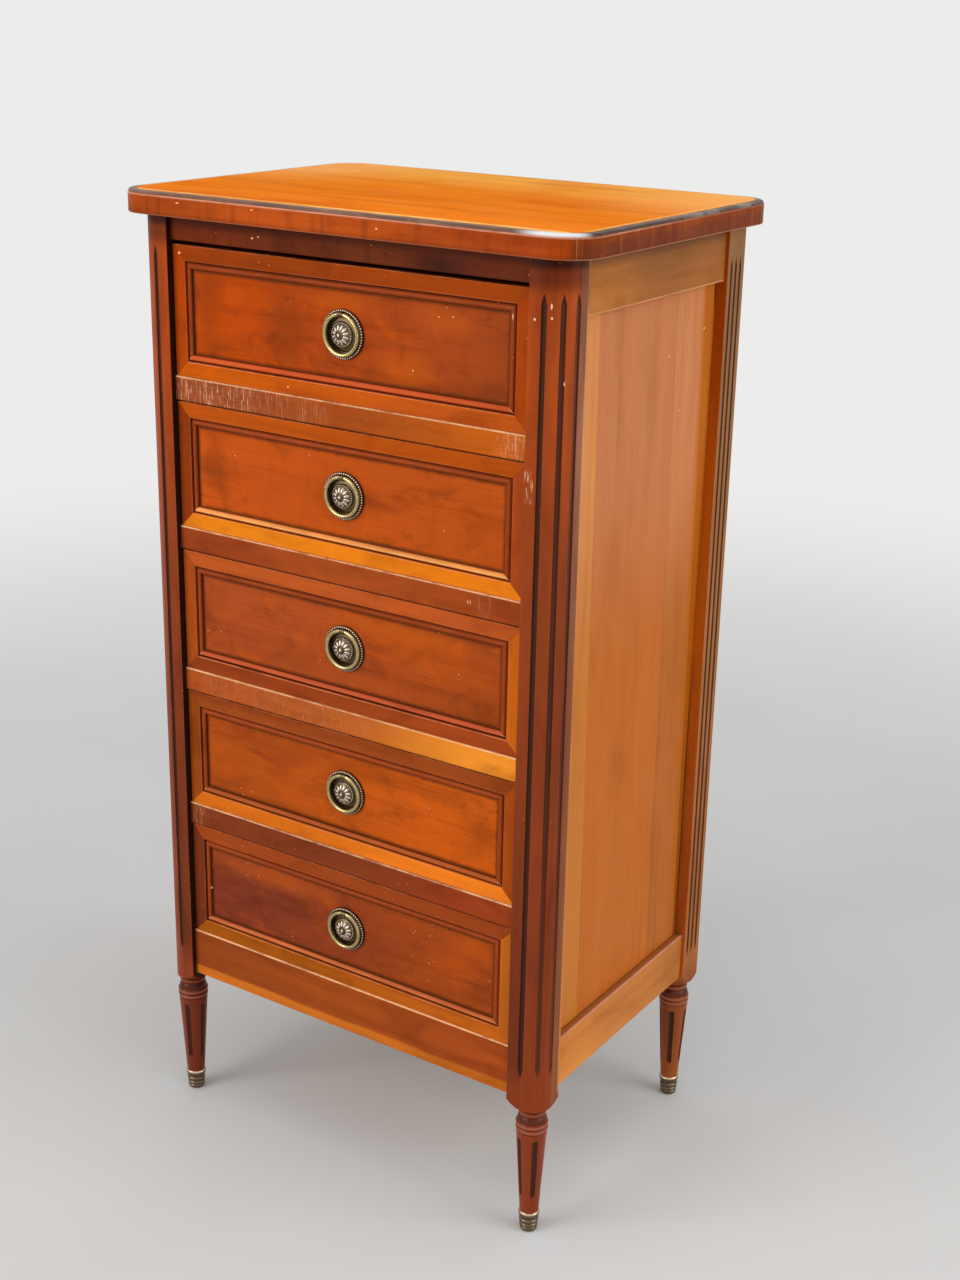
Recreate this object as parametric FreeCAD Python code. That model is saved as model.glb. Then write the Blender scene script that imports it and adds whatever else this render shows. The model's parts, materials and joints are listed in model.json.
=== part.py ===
import FreeCAD, Part
import math
import os

os.makedirs("parts", exist_ok=True)

# A five-drawer chest with fluted corner posts on turned legs.
# Lengths are millimetres. X runs along the width, Y from front to back, Z up from the floor.

# Overall sizes
overall_height = 1120.0
body_width = 544.0
body_depth = 377.0
drawer_count = 5

# Fits and allowances
glue_fit = 0.05
slide_gap = 0.3
overrun = 4.0

# Top slab: a board, a mitred edge moulding round it and an ebonised fillet in the step between
top_thickness = 25.0
top_front_overhang = 14.0
top_side_overhang = 20.0
top_rear_overhang = 25.0
top_corner_radius = 40.0
top_moulding_width = 10.0
top_moulding_drop = 3.8
top_moulding_arris = 0.8
fillet_step = 0.7
fillet_setback = 0.8
fillet_round = 2.4

# Front posts: a column with a rounded corner and a flat at each side
post_radius = 30.0
post_front_flat = 13.0
post_side_flat = 10.0
post_flute_angles_deg = (7.0, 44.0, 75.0)
post_flute_width = 6.2
post_flute_depth = 2.2

# Rear posts: flat, with three flutes on the outer side
rear_post_width = 40.0
rear_post_depth = 43.0
rear_post_round = 5.0
rear_flute_width = 5.0
rear_flute_depth = 2.0
rear_flute_pitch = 10.5
rear_flute_first = 9.0
rear_flute_count = 3

# Post flutes: each runs out to a point at both ends
flute_top_margin = 32.5
flute_bottom_margin = 28.5
flute_tip_length = 12.0

# Post toes: the lower end of each post is turned down to the round of its leg
toe_drop = 16.0
toe_radius = 15.2
toe_reach = 33.5
front_toe_rise = 18.0
rear_toe_rise = 24.0
toe_round_shares = (0.55, 0.4)

# Rails of the front
apron_height = 60.0
apron_drop = 1.0
rail_height = 27.0
rail_depth = 50.0
rail_recess = 6.8
rail_arris = 1.2
frieze_height = 27.0
frieze_gap = 3.0

# Sides and back
side_rail_setback = 4.0
side_rail_thickness = 22.0
side_top_rail_height = 59.0
side_bottom_rail_height = 58.0
side_bottom_rail_lift = 5.0
side_panel_setback = 9.0
side_panel_thickness = 13.0
side_board_seam_shares = (0.18, 0.73, 0.955)
panel_tongue = 8.0
back_rail_setback = 2.0
back_rail_thickness = 20.0
back_panel_setback = 7.0
back_panel_thickness = 9.0
back_board_count = 3

# Tenons
tenon_length = 18.0
tenon_thickness = 8.0
tenon_shoulder = 4.0
side_tenon_length = 13.0

# Turned legs and their brass ferrules
leg_height = 178.0
leg_inset_front = 22.0
leg_inset_side = 22.0
leg_inset_rear = 18.5
leg_spigot_radius = 11.0
leg_spigot_length = 44.0
leg_shaft_length = 107.5
leg_shaft_top_radius = 17.6
leg_shaft_foot_radius = 10.9
leg_ring_radius = 18.3
leg_groove_radius = 16.8
leg_neck_radius = 14.2
leg_collar_radius = 15.8
leg_flute_count = 5
leg_flute_width = 8.0
leg_flute_foot_width = 5.6
leg_flute_depth = 2.5
leg_flute_head_stop = 11.5
leg_flute_foot_stop = 25.0
leg_flute_turns_deg = {"front_left": 13.5, "front_right": 47.0, "rear_right": 21.0, "rear_left": 60.0}
ferrule_height = 26.0
ferrule_radius = 12.2
ferrule_socket_radius = 8.6
ferrule_floor = 3.0

# Drawers
drawer_side_gap = 1.0
drawer_top_gap = 1.3
drawer_recess = 8.0
drawer_rear_gap = 10.0
drawer_front_thickness = 18.0
drawer_side_thickness = 11.0
drawer_back_thickness = 10.0
drawer_side_drop = 24.0
drawer_bottom_thickness = 7.0
drawer_bottom_lift = 8.0
drawer_groove = 5.0
dovetail_lap = 12.0
dovetail_count = 4
dovetail_slope_share = 0.2
dovetail_pin_share = 0.3

# Mitred moulding on each drawer front: a flat band, a quirk and a bead
moulding_height = 3.5
moulding_band = 16.8
moulding_quirk = 1.9
moulding_quirk_depth = 2.7
moulding_bead = 6.6
moulding_arris = 0.5

# Runners, guides, stops and the bearers under the top
runner_width = 23.0
runner_thickness = 18.0
guide_rise = 22.0
stop_length = 40.0
stop_depth = 12.0
stop_height = 5.0
stop_place_share = 0.65
bearer_width = 30.0
screw_count = 3
screw_radius = 2.2
screw_head_radius = 4.4
screw_head_height = 2.6
screw_bite = 12.0

# Ring pulls
plate_radius = 26.0
plate_relief = 10.0
pull_bolt_radius = 2.5
pull_bolt_reach = 7.0
pull_bolt_clearance = 0.1
nut_across_corners = 11.0
nut_thickness = 4.0
ring_radius = 21.0
ring_wire_radius = 2.2
ring_stand_off = 5.0
ring_pin_radius = 1.5
ring_pin_clearance = 0.08
knuckle_radius = 3.2
knuckle_width = 6.0
knuckle_side_gap = 0.3
knuckle_core = 1.0

# Levels and planes that follow from the sizes above
top_width = body_width + 2 * top_side_overhang
top_depth = top_front_overhang + body_depth + top_rear_overhang
half_body = body_width / 2
front_y = top_front_overhang - top_depth / 2
rear_y = front_y + body_depth
body_top = overall_height - top_thickness
front_post_depth = post_radius + post_side_flat
rear_post_front = rear_y - rear_post_depth
opening_half = half_body - post_radius - post_front_flat
apron_low = leg_height - apron_drop
apron_top = apron_low + apron_height
frieze_low = body_top - frieze_height
rail_stack = (drawer_count - 1) * rail_height
opening_height = (frieze_low - frieze_gap - apron_top - rail_stack) / drawer_count
pitch = opening_height + rail_height
rail_front = front_y + rail_recess
rail_rear = rail_front + rail_depth
leg_shoulder = leg_height - toe_drop
tenon_low = leg_shoulder + leg_spigot_length + tenon_shoulder
side_rail_outer = half_body - side_rail_setback
side_rail_inner = side_rail_outer - side_rail_thickness
side_low = leg_height + side_bottom_rail_lift
side_panel_outer = side_rail_outer - side_panel_setback
side_panel_inner = side_panel_outer - side_panel_thickness
side_panel_low = side_low + side_bottom_rail_height
side_panel_high = body_top - side_top_rail_height
back_rail_rear = rear_y - back_rail_setback
back_rail_front = back_rail_rear - back_rail_thickness
back_panel_rear = rear_y - back_panel_setback
drawer_height = opening_height - slide_gap - drawer_top_gap
drawer_half = opening_half - drawer_side_gap
drawer_face = front_y + drawer_recess
board_face = drawer_face + moulding_height
board_rear = board_face + drawer_front_thickness
drawer_rear = back_rail_front - drawer_rear_gap
flute_low = leg_height + flute_bottom_margin
flute_high = body_top - flute_top_margin


def vec(x, y, z):
    return FreeCAD.Vector(x, y, z)


def block(x0, x1, y0, y1, z0, z1):
    return Part.makeBox(x1 - x0, y1 - y0, z1 - z0, vec(x0, y0, z0))


def mirrored(shape):
    """The same piece for the other side of the chest."""
    return shape.mirror(vec(0, 0, 0), vec(1, 0, 0))


def moved(shape, x, y, z):
    copy = shape.copy()
    copy.translate(vec(x, y, z))
    return copy


def prism(points, run):
    """A flat outline of corner points, extruded along run."""
    wire = Part.makePolygon(points + points[:1])
    return Part.Face(wire).extrude(run)


def save(name, *pieces):
    shape = pieces[0] if len(pieces) == 1 else Part.makeCompound(pieces)
    shape.exportStep("parts/" + name + ".step")


def scaled_outline(shares, radius, height):
    """An outline written in shares of a radius and a height, in real sizes."""
    sizes = (radius, height, radius, height)
    return [tuple(share * size for share, size in zip(entry, sizes)) for entry in shares]


def cap_arc(low, high):
    """An arc of a ball about the axis, from one outline point up to another."""
    centre = (low[0] ** 2 - high[0] ** 2 + low[-1] ** 2 - high[-1] ** 2) / (2 * (low[-1] - high[-1]))
    ball = math.hypot(high[0], high[-1] - centre)
    via = (low[0] + high[0]) / 2
    return (via, centre + math.sqrt(ball ** 2 - via ** 2), high[0], high[-1])


def turned(outline):
    """Revolve an outline about Z. An entry is a point (r, z) or an arc (via r, via z, r, z)."""
    edges = []
    here = vec(outline[0][0], 0, outline[0][1])
    for entry in outline[1:]:
        there = vec(entry[-2], 0, entry[-1])
        if len(entry) == 4:
            via = vec(entry[0], 0, entry[1])
            edges.append(Part.Arc(here, via, there).toShape())
        else:
            edges.append(Part.makeLine(here, there))
        here = there
    edges.append(Part.makeLine(here, vec(outline[0][0], 0, outline[0][1])))
    face = Part.Face(Part.Wire(edges))
    return face.revolve(vec(0, 0, 0), vec(0, 0, 1), 360)


def capsule(start, end, start_radius, end_radius):
    """A round-ended cutter between two points."""
    run = end - start
    if start_radius == end_radius:
        body = Part.makeCylinder(start_radius, run.Length, start, run)
    else:
        body = Part.makeCone(start_radius, end_radius, run.Length, start, run)
    ends = [Part.makeSphere(start_radius, start), Part.makeSphere(end_radius, end)]
    return body.fuse(ends).removeSplitter()


def cutter_radius(width, depth):
    """The radius of the round cutter that leaves a flute of this width and depth."""
    return (width ** 2 / 4 + depth ** 2) / (2 * depth)


def flute_cutter(x, y, width, depth):
    """A round cutter for an upright flute of a post, tapered so that both ends run out to a point."""
    radius = cutter_radius(width, depth)
    proud = radius - depth
    tip_radius = proud / 2
    taper = flute_tip_length * (radius - tip_radius) / (radius - proud)
    low = flute_low + flute_tip_length
    high = flute_high - flute_tip_length
    body = Part.makeCylinder(radius, high - low, vec(x, y, low))
    tips = [Part.makeCone(radius, tip_radius, taper, vec(x, y, high), vec(0, 0, 1)),
            Part.makeCone(radius, tip_radius, taper, vec(x, y, low), vec(0, 0, -1))]
    return body.fuse(tips)


def edges_along_x(shape, y, z):
    """The straight edges that run along X at one place."""
    picked = []
    for edge in shape.Edges:
        box = edge.BoundBox
        flat = box.YLength < glue_fit and box.ZLength < glue_fit
        if flat and abs(box.YMin - y) < glue_fit and abs(box.ZMin - z) < glue_fit:
            picked.append(edge)
    return picked


def upright_edges(shape):
    return [e for e in shape.Edges if e.BoundBox.XLength < glue_fit and e.BoundBox.YLength < glue_fit]


# The top slab

def plan_prism(inset, z_low, z_high):
    """A prism of the top's plan outline with round corners, drawn in by inset."""
    half_x = top_width / 2 - inset
    half_y = top_depth / 2 - inset
    slab = block(-half_x, half_x, -half_y, half_y, z_low, z_high)
    return slab.makeFillet(top_corner_radius - inset, upright_edges(slab))


def mitred_quarters(ring):
    """Split a ring round the top into four pieces along its mitres."""
    outer_x = top_width / 2
    outer_y = top_depth / 2
    inner_x = outer_x - top_corner_radius
    inner_y = outer_y - top_corner_radius
    low = body_top - overrun
    run = vec(0, 0, top_thickness + 2 * overrun)
    outer = [(-outer_x, -outer_y), (outer_x, -outer_y), (outer_x, outer_y), (-outer_x, outer_y)]
    inner = [(-inner_x, -inner_y), (inner_x, -inner_y), (inner_x, inner_y), (-inner_x, inner_y)]
    quarters = []
    for here in range(4):
        after = (here + 1) % 4
        corners = [outer[here], outer[after], inner[after], inner[here]]
        wedge = prism([vec(x, y, low) for x, y in corners], run)
        quarters.append(ring.common(wedge))
    return quarters


def screw_places():
    start = rail_rear
    step = (back_rail_front - start) / screw_count
    x = opening_half - bearer_width / 2
    ys = [start + step * (i + 0.5) for i in range(screw_count)]
    return [(side * x, y) for side in (-1, 1) for y in ys]


def top_screw(x, y, spare):
    """One countersunk screw up through a bearer into the board; spare widens it into a bore."""
    shank = screw_radius + spare
    head = screw_head_radius + spare
    tip = body_top + screw_bite + spare
    shape = turned([(0, frieze_low), (head, frieze_low), (shank, frieze_low + screw_head_height),
                    (shank, tip), (0, tip)])
    return moved(shape, x, y, 0)


def make_top():
    arris_level = overall_height - top_moulding_drop
    board = plan_prism(top_moulding_width, body_top, overall_height)
    for x, y in screw_places():
        board = board.cut(top_screw(x, y, glue_fit))
    save("top_board", board)

    outer = plan_prism(0, body_top, arris_level)
    rims = [e for e in outer.Edges if e.BoundBox.ZLength < glue_fit]
    outer = outer.makeFillet(top_moulding_arris, rims)
    core = plan_prism(top_moulding_width, body_top - overrun, overall_height + overrun)
    save("top_edge_moulding", *mitred_quarters(outer.cut(core)))

    fillet_top = overall_height - fillet_step
    fillet = plan_prism(fillet_setback, arris_level, fillet_top)
    rims = [e for e in fillet.Edges if e.BoundBox.ZMin > fillet_top - glue_fit]
    fillet = fillet.makeFillet(fillet_round, rims)
    save("top_black_fillet", *mitred_quarters(fillet.cut(core)))


# Rails, tenons and panels of the carcase

def front_rail(z_low, z_high, tenon_z_low):
    """A rail across the front with a tenon at each end and softened front arrises."""
    rail = block(-opening_half, opening_half, rail_front, rail_rear, z_low, z_high)
    front_edges = edges_along_x(rail, rail_front, z_low) + edges_along_x(rail, rail_front, z_high)
    rail = rail.makeFillet(rail_arris, front_edges)
    return rail.fuse(front_tenon(tenon_z_low, z_high)).removeSplitter()


def front_tenon(z_low, z_high):
    """One bar that gives both end tenons of a front rail."""
    reach = opening_half + tenon_length
    y_low = rail_front + tenon_thickness
    top = z_high - tenon_shoulder
    return block(-reach, reach, y_low, y_low + tenon_thickness, z_low, top)


def side_rail(z_low, z_high, tenon_z_low):
    rail = block(side_rail_inner, side_rail_outer, front_y + front_post_depth, rear_post_front, z_low, z_high)
    return rail.fuse(side_tenon(tenon_z_low, z_high)).removeSplitter()


def side_tenon(z_low, z_high):
    x_low = side_rail_inner + (side_rail_thickness - tenon_thickness) / 2
    y_low = front_y + front_post_depth - side_tenon_length
    y_high = rear_post_front + side_tenon_length
    return block(x_low, x_low + tenon_thickness, y_low, y_high, z_low, z_high - tenon_shoulder)


def back_rail(z_low, z_high, tenon_z_low):
    half = half_body - rear_post_width
    rail = block(-half, half, back_rail_front, back_rail_rear, z_low, z_high)
    return rail.fuse(back_tenon(tenon_z_low, z_high)).removeSplitter()


def back_tenon(z_low, z_high):
    reach = half_body - rear_post_width + tenon_length
    y_low = back_rail_front + tenon_shoulder
    return block(-reach, reach, y_low, y_low + tenon_thickness, z_low, z_high - tenon_shoulder)


def side_panel_envelope():
    y_low = front_y + front_post_depth - panel_tongue
    y_high = rear_post_front + panel_tongue
    z_low = side_panel_low - panel_tongue
    z_high = side_panel_high + panel_tongue
    return block(side_panel_inner, side_panel_outer, y_low, y_high, z_low, z_high)


def side_boards():
    """Upright boards, edge to edge, from the front post to the rear post."""
    envelope = side_panel_envelope().BoundBox
    sight_low = front_y + front_post_depth
    sight = rear_post_front - sight_low
    seams = [envelope.YMin] + [sight_low + s * sight for s in side_board_seam_shares] + [envelope.YMax]
    return [block(side_panel_inner, side_panel_outer, y0, y1, envelope.ZMin, envelope.ZMax)
            for y0, y1 in zip(seams[:-1], seams[1:])]


def back_panel_envelope():
    half = half_body - rear_post_width + panel_tongue
    z_low = side_panel_low - panel_tongue
    z_high = side_panel_high + panel_tongue
    return block(-half, half, back_panel_rear - back_panel_thickness, back_panel_rear, z_low, z_high)


def back_boards():
    envelope = back_panel_envelope().BoundBox
    width = envelope.XLength / back_board_count
    return [block(envelope.XMin + i * width, envelope.XMin + (i + 1) * width, envelope.YMin,
                  envelope.YMax, envelope.ZMin, envelope.ZMax) for i in range(back_board_count)]


def rail_levels():
    """Lower and upper level of each rail between drawers, from the top down."""
    lows = [apron_top + pitch * (drawer_count - 1 - i) - rail_height for i in range(drawer_count - 1)]
    return [(low, low + rail_height) for low in lows]


def all_front_tenons():
    tenons = [front_tenon(tenon_low, apron_top), front_tenon(frieze_low + tenon_shoulder, body_top)]
    return tenons + [front_tenon(low + tenon_shoulder, high) for low, high in rail_levels()]


def side_tenons():
    return [side_tenon(tenon_low, side_panel_low), side_tenon(side_panel_high + tenon_shoulder, body_top)]


def back_tenons():
    return [back_tenon(tenon_low, side_panel_low), back_tenon(side_panel_high + tenon_shoulder, body_top)]


def make_rails():
    save("frieze_rail", front_rail(frieze_low, body_top, frieze_low + tenon_shoulder))
    save("apron_rail", front_rail(apron_low, apron_top, tenon_low))
    for number, (low, high) in enumerate(rail_levels(), start=1):
        save("drawer_rail_%d" % number, front_rail(low, high, low + tenon_shoulder))

    panel = side_panel_envelope()
    lower = side_rail(side_low, side_panel_low, tenon_low).cut(panel)
    upper = side_rail(side_panel_high, body_top, side_panel_high + tenon_shoulder).cut(panel)
    boards = side_boards()
    save("side_bottom_rail_right", lower)
    save("side_bottom_rail_left", mirrored(lower))
    save("side_top_rail_right", upper)
    save("side_top_rail_left", mirrored(upper))
    save("side_panel_right", *boards)
    save("side_panel_left", *[mirrored(board) for board in boards])

    back = back_panel_envelope()
    low_rail = back_rail(side_low, side_panel_low, tenon_low).cut(back)
    high_rail = back_rail(side_panel_high, body_top, side_panel_high + tenon_shoulder).cut(back)
    save("back_rails", low_rail, high_rail)
    save("back_panel", *back_boards())


# Posts

def leg_place(where):
    """Centre of a leg in plan."""
    x = half_body - leg_inset_side
    if where.endswith("left"):
        x = -x
    y = front_y + leg_inset_front if where.startswith("front") else rear_y - leg_inset_rear
    return x, y


def leg_bore(where):
    x, y = leg_place(where)
    return Part.makeCylinder(leg_spigot_radius, leg_spigot_length, vec(x, y, leg_shoulder))


def toe_cutter(where, rise):
    """What the lathe takes off the lower end of a post, about its leg's axis."""
    x, y = leg_place(where)
    low = leg_shoulder - overrun
    via_r = toe_radius + toe_round_shares[0] * (toe_reach - toe_radius)
    via_z = leg_shoulder + toe_round_shares[1] * rise
    waste = turned([
        (toe_radius, low),
        (toe_radius, leg_shoulder),
        (via_r, via_z, toe_reach, leg_shoulder + rise),
        (toe_reach, low),
    ])
    return moved(waste, x, y, 0)


def front_post():
    """The right front post, before it is mirrored for the left."""
    centre_x = half_body - post_radius
    centre_y = front_y + post_radius
    depth_y = front_y + front_post_depth
    diagonal = post_radius * math.sqrt(0.5)
    corner = vec(centre_x + diagonal, centre_y - diagonal, leg_shoulder)
    points = [vec(half_body, centre_y, leg_shoulder), vec(half_body, depth_y, leg_shoulder),
              vec(opening_half, depth_y, leg_shoulder), vec(opening_half, front_y, leg_shoulder),
              vec(centre_x, front_y, leg_shoulder)]
    edges = [Part.makeLine(a, b) for a, b in zip(points[:-1], points[1:])]
    edges.append(Part.Arc(points[-1], corner, points[0]).toShape())
    post = Part.Face(Part.Wire(edges)).extrude(vec(0, 0, body_top - leg_shoulder))
    post = post.cut(toe_cutter("front_right", front_toe_rise))
    reach = post_radius + cutter_radius(post_flute_width, post_flute_depth) - post_flute_depth
    for angle in post_flute_angles_deg:
        turn = math.radians(angle)
        x = centre_x + reach * math.sin(turn)
        y = centre_y - reach * math.cos(turn)
        post = post.cut(flute_cutter(x, y, post_flute_width, post_flute_depth))
    return post.cut(all_front_tenons() + side_tenons() + [side_panel_envelope(), leg_bore("front_right")])


def rear_post():
    """The right rear post, a flat pilaster fluted on its outer side."""
    inner = half_body - rear_post_width
    post = block(inner, half_body, rear_post_front, rear_y, leg_shoulder, body_top)
    outer_back = [e for e in upright_edges(post)
                  if e.BoundBox.XMin > half_body - glue_fit and e.BoundBox.YMin > rear_y - glue_fit]
    post = post.makeFillet(rear_post_round, outer_back).cut(toe_cutter("rear_right", rear_toe_rise))
    x = half_body + cutter_radius(rear_flute_width, rear_flute_depth) - rear_flute_depth
    for number in range(rear_flute_count):
        y = rear_post_front + rear_flute_first + number * rear_flute_pitch
        post = post.cut(flute_cutter(x, y, rear_flute_width, rear_flute_depth))
    pockets = side_tenons() + back_tenons() + [side_panel_envelope(), back_panel_envelope()]
    return post.cut(pockets + [leg_bore("rear_right")])


def make_posts():
    front = front_post()
    rear = rear_post()
    save("front_post_right", front)
    save("front_post_left", mirrored(front))
    save("rear_post_right", rear)
    save("rear_post_left", mirrored(rear))


# Turned legs

def leg_blank():
    """The leg as it leaves the lathe, standing on the origin's axis."""
    foot = ferrule_height
    shaft_top = foot + leg_shaft_length
    head = leg_shoulder - shaft_top
    ring_share = 0.22
    cushion_share = 0.26
    neck_share = 0.05
    collar_share = 0.18
    lower_ring = shaft_top + ring_share * head
    upper_ring = lower_ring + ring_share * head
    cushion = upper_ring + cushion_share * head
    neck = cushion + neck_share * head
    collar = neck + collar_share * head
    crest_share = 0.5
    cushion_round_share = 0.75
    cushion_via = leg_neck_radius + cushion_round_share * (leg_groove_radius - leg_neck_radius)
    return turned([
        (0, ferrule_floor),
        (ferrule_socket_radius, ferrule_floor),
        (ferrule_socket_radius, foot),
        (leg_shaft_foot_radius, foot),
        (leg_shaft_top_radius, shaft_top),
        (leg_groove_radius, shaft_top),
        (leg_ring_radius, shaft_top + crest_share * ring_share * head, leg_groove_radius, lower_ring),
        (leg_ring_radius, lower_ring + crest_share * ring_share * head, leg_groove_radius, upper_ring),
        (cushion_via, upper_ring + crest_share * cushion_share * head, leg_neck_radius, cushion),
        (leg_neck_radius, neck),
        (leg_collar_radius, neck + crest_share * collar_share * head, leg_neck_radius, collar),
        (leg_neck_radius, leg_shoulder),
        (leg_spigot_radius, leg_shoulder),
        (leg_spigot_radius, leg_shoulder + leg_spigot_length),
        (0, leg_shoulder + leg_spigot_length),
    ])


def leg_flute(turn_deg):
    """A tapered flute cutter that follows the leg's slope on one side."""
    foot = ferrule_height + leg_flute_foot_stop
    head = ferrule_height + leg_shaft_length - leg_flute_head_stop
    slope = (leg_shaft_top_radius - leg_shaft_foot_radius) / leg_shaft_length
    ends = []
    for z, width in ((foot, leg_flute_foot_width), (head, leg_flute_width)):
        cutter = cutter_radius(width, leg_flute_depth)
        surface = leg_shaft_foot_radius + slope * (z - ferrule_height)
        reach = surface + cutter - leg_flute_depth
        turn = math.radians(turn_deg)
        ends.append((vec(reach * math.sin(turn), -reach * math.cos(turn), z), cutter))
    (low, low_radius), (high, high_radius) = ends
    return capsule(low, high, low_radius, high_radius)


def ferrule():
    """A ringed brass cup over the foot of a leg."""
    r = ferrule_radius
    h = ferrule_height
    outline_shares = [
        (0.60, 0.0), (0.77, 0.06, 0.80, 0.18), (0.74, 0.22), (0.86, 0.31, 0.75, 0.40),
        (0.78, 0.44), (0.91, 0.53, 0.80, 0.62), (0.84, 0.70), (0.90, 0.74), (1.0, 0.86, 0.92, 1.0),
    ]
    outline = [(0, 0)] + scaled_outline(outline_shares, r, h)
    outline += [(ferrule_socket_radius, h), (ferrule_socket_radius, ferrule_floor), (0, ferrule_floor)]
    return turned(outline)


def make_legs():
    blank = leg_blank()
    cup = ferrule()
    cups = []
    for where, first_deg in leg_flute_turns_deg.items():
        leg = blank.copy()
        for number in range(leg_flute_count):
            leg = leg.cut(leg_flute(first_deg + number * 360 / leg_flute_count))
        x, y = leg_place(where)
        save(where.replace("_", "_leg_"), moved(leg, x, y, 0))
        cups.append(moved(cup, x, y, 0))
    save("leg_ferrules", *cups)


# Runners, guides, stops and the bearers under the top

def drawer_floor(number):
    """The level that drawer number, counted from the top, slides on."""
    return apron_top + pitch * (drawer_count - number)


def make_runners():
    strips = []
    stops = []
    for number in range(1, drawer_count + 1):
        floor = drawer_floor(number)
        low = floor - runner_thickness
        inner = opening_half - runner_width
        runner = block(inner, opening_half, rail_rear, rear_post_front, low, floor)
        guide = block(opening_half, side_panel_inner, front_y + front_post_depth, rear_post_front,
                      low, floor + guide_rise)
        strips += [runner, guide, mirrored(runner), mirrored(guide)]
        centre = stop_place_share * opening_half
        stop_front = board_rear + slide_gap
        stop = block(centre - stop_length / 2, centre + stop_length / 2, stop_front,
                     stop_front + stop_depth, floor, floor + stop_height)
        stops += [stop, mirrored(stop)]
    save("drawer_runners", *strips)
    save("drawer_stops", *stops)

    bearer = block(opening_half - bearer_width, opening_half, rail_rear, back_rail_front, frieze_low, body_top)
    bearers = [bearer, mirrored(bearer)]
    screws = []
    for x, y in screw_places():
        bore = top_screw(x, y, glue_fit)
        bearers = [piece.cut(bore) for piece in bearers]
        screws.append(top_screw(x, y, 0))
    save("top_bearers", *bearers)
    save("top_screws", *screws)


# Drawers, each built with its running face at Z zero

def tails(y_root, y_tip, z_low, z_high):
    """Dovetails on the right-hand side, wider at the tip than at the root."""
    pitch_z = (z_high - z_low) / dovetail_count
    gap = dovetail_pin_share * pitch_z / 2
    flare = dovetail_slope_share * abs(y_tip - y_root)
    x = drawer_half - drawer_side_thickness
    run = vec(drawer_side_thickness, 0, 0)
    shapes = []
    for i in range(dovetail_count):
        low = z_low + i * pitch_z + gap
        high = low + pitch_z - 2 * gap
        shapes.append(prism([vec(x, y_root, low + flare), vec(x, y_root, high - flare),
                             vec(x, y_tip, high), vec(x, y_tip, low)], run))
    return shapes


def moulding_strip(length, reach):
    """A mitred strip along the lower edge; reach is from the front's centre to that edge."""
    width = moulding_band + moulding_quirk + moulding_bead
    quirk_low = moulding_height - moulding_quirk_depth
    bead_start = moulding_band + moulding_quirk
    outline = [(0, 0), (0, moulding_height - moulding_arris), (moulding_arris, moulding_height),
               (moulding_band - moulding_arris, moulding_height),
               (moulding_band, moulding_height - moulding_arris), (moulding_band, quirk_low),
               (bead_start, quirk_low)]
    points = [vec(-length / 2, board_face - h, u - reach) for u, h in outline]
    edges = [Part.makeLine(a, b) for a, b in zip(points[:-1], points[1:])]
    crest = vec(-length / 2, board_face - moulding_height, bead_start + moulding_bead / 2 - reach)
    inner = vec(-length / 2, board_face, width - reach)
    edges.append(Part.Arc(points[-1], crest, inner).toShape())
    edges.append(Part.makeLine(inner, points[0]))
    strip = Part.Face(Part.Wire(edges)).extrude(vec(length, 0, 0))
    y = board_face - moulding_height - overrun
    corners = [(-length / 2, -reach), (length / 2, -reach),
               (length / 2 - width, width - reach), (width - length / 2, width - reach)]
    wedge = prism([vec(x, y, z) for x, z in corners], vec(0, moulding_height + 2 * overrun, 0))
    return strip.common(wedge)


def make_moulding():
    """Four strips round the front, about its centre at the origin's axis."""
    strips = []
    for quarter in range(4):
        upright = quarter % 2 == 1
        length = drawer_height if upright else 2 * drawer_half
        reach = drawer_half if upright else drawer_height / 2
        strip = moulding_strip(length, reach)
        strip.rotate(vec(0, 0, 0), vec(0, 1, 0), 90 * quarter)
        strips.append(moved(strip, 0, 0, slide_gap + drawer_height / 2))
    return strips


def pull_plate():
    """Round cast plate with a raised rim, a domed rosette, its knuckle and its bolt."""
    r = plate_radius
    h = plate_relief
    plate_face_share = 0.05
    outline_shares = [
        (1.0, 0.0), (1.0, 0.12), (0.94, 0.34, 0.87, 0.14), (0.70, 0.10), (0.53, 0.20), (0.51, 0.30),
    ]
    boss_radius_share = 0.13
    dome_top_share = 0.80
    boss_side_share = 0.84
    outline = [(0, 0)] + scaled_outline(outline_shares, r, h)
    boss = boss_radius_share * r
    outline.append(cap_arc(outline[-1], (boss, dome_top_share * h)))
    outline.append((boss, boss_side_share * h))
    outline.append(cap_arc(outline[-1], (0, h)))
    plate = turned(outline)
    plate.rotate(vec(0, 0, 0), vec(1, 0, 0), 90)
    bolt_length = drawer_front_thickness + pull_bolt_reach
    bolt = Part.makeCylinder(pull_bolt_radius, bolt_length, vec(0, 0, 0), vec(0, 1, 0))
    half = knuckle_width / 2
    foot = vec(-half, -plate_face_share * h, ring_radius - knuckle_radius)
    shoulder = vec(-half, -ring_stand_off, ring_radius - knuckle_radius)
    crest = vec(-half, -ring_stand_off - knuckle_radius, ring_radius)
    lift = vec(0, 0, 2 * knuckle_radius)
    edges = [Part.makeLine(foot, shoulder), Part.Arc(shoulder, crest, shoulder + lift).toShape(),
             Part.makeLine(shoulder + lift, foot + lift), Part.makeLine(foot + lift, foot)]
    lug = Part.Face(Part.Wire(edges)).extrude(vec(knuckle_width, 0, 0))
    shape = plate.fuse([bolt, lug]).removeSplitter()
    bore_radius = ring_pin_radius + ring_pin_clearance
    for start, way in ((knuckle_core, 1), (-knuckle_core, -1)):
        mouth = vec(start, -ring_stand_off, ring_radius)
        shape = shape.cut(Part.makeCylinder(bore_radius, half + overrun, mouth, vec(way, 0, 0)))
    return shape


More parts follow.
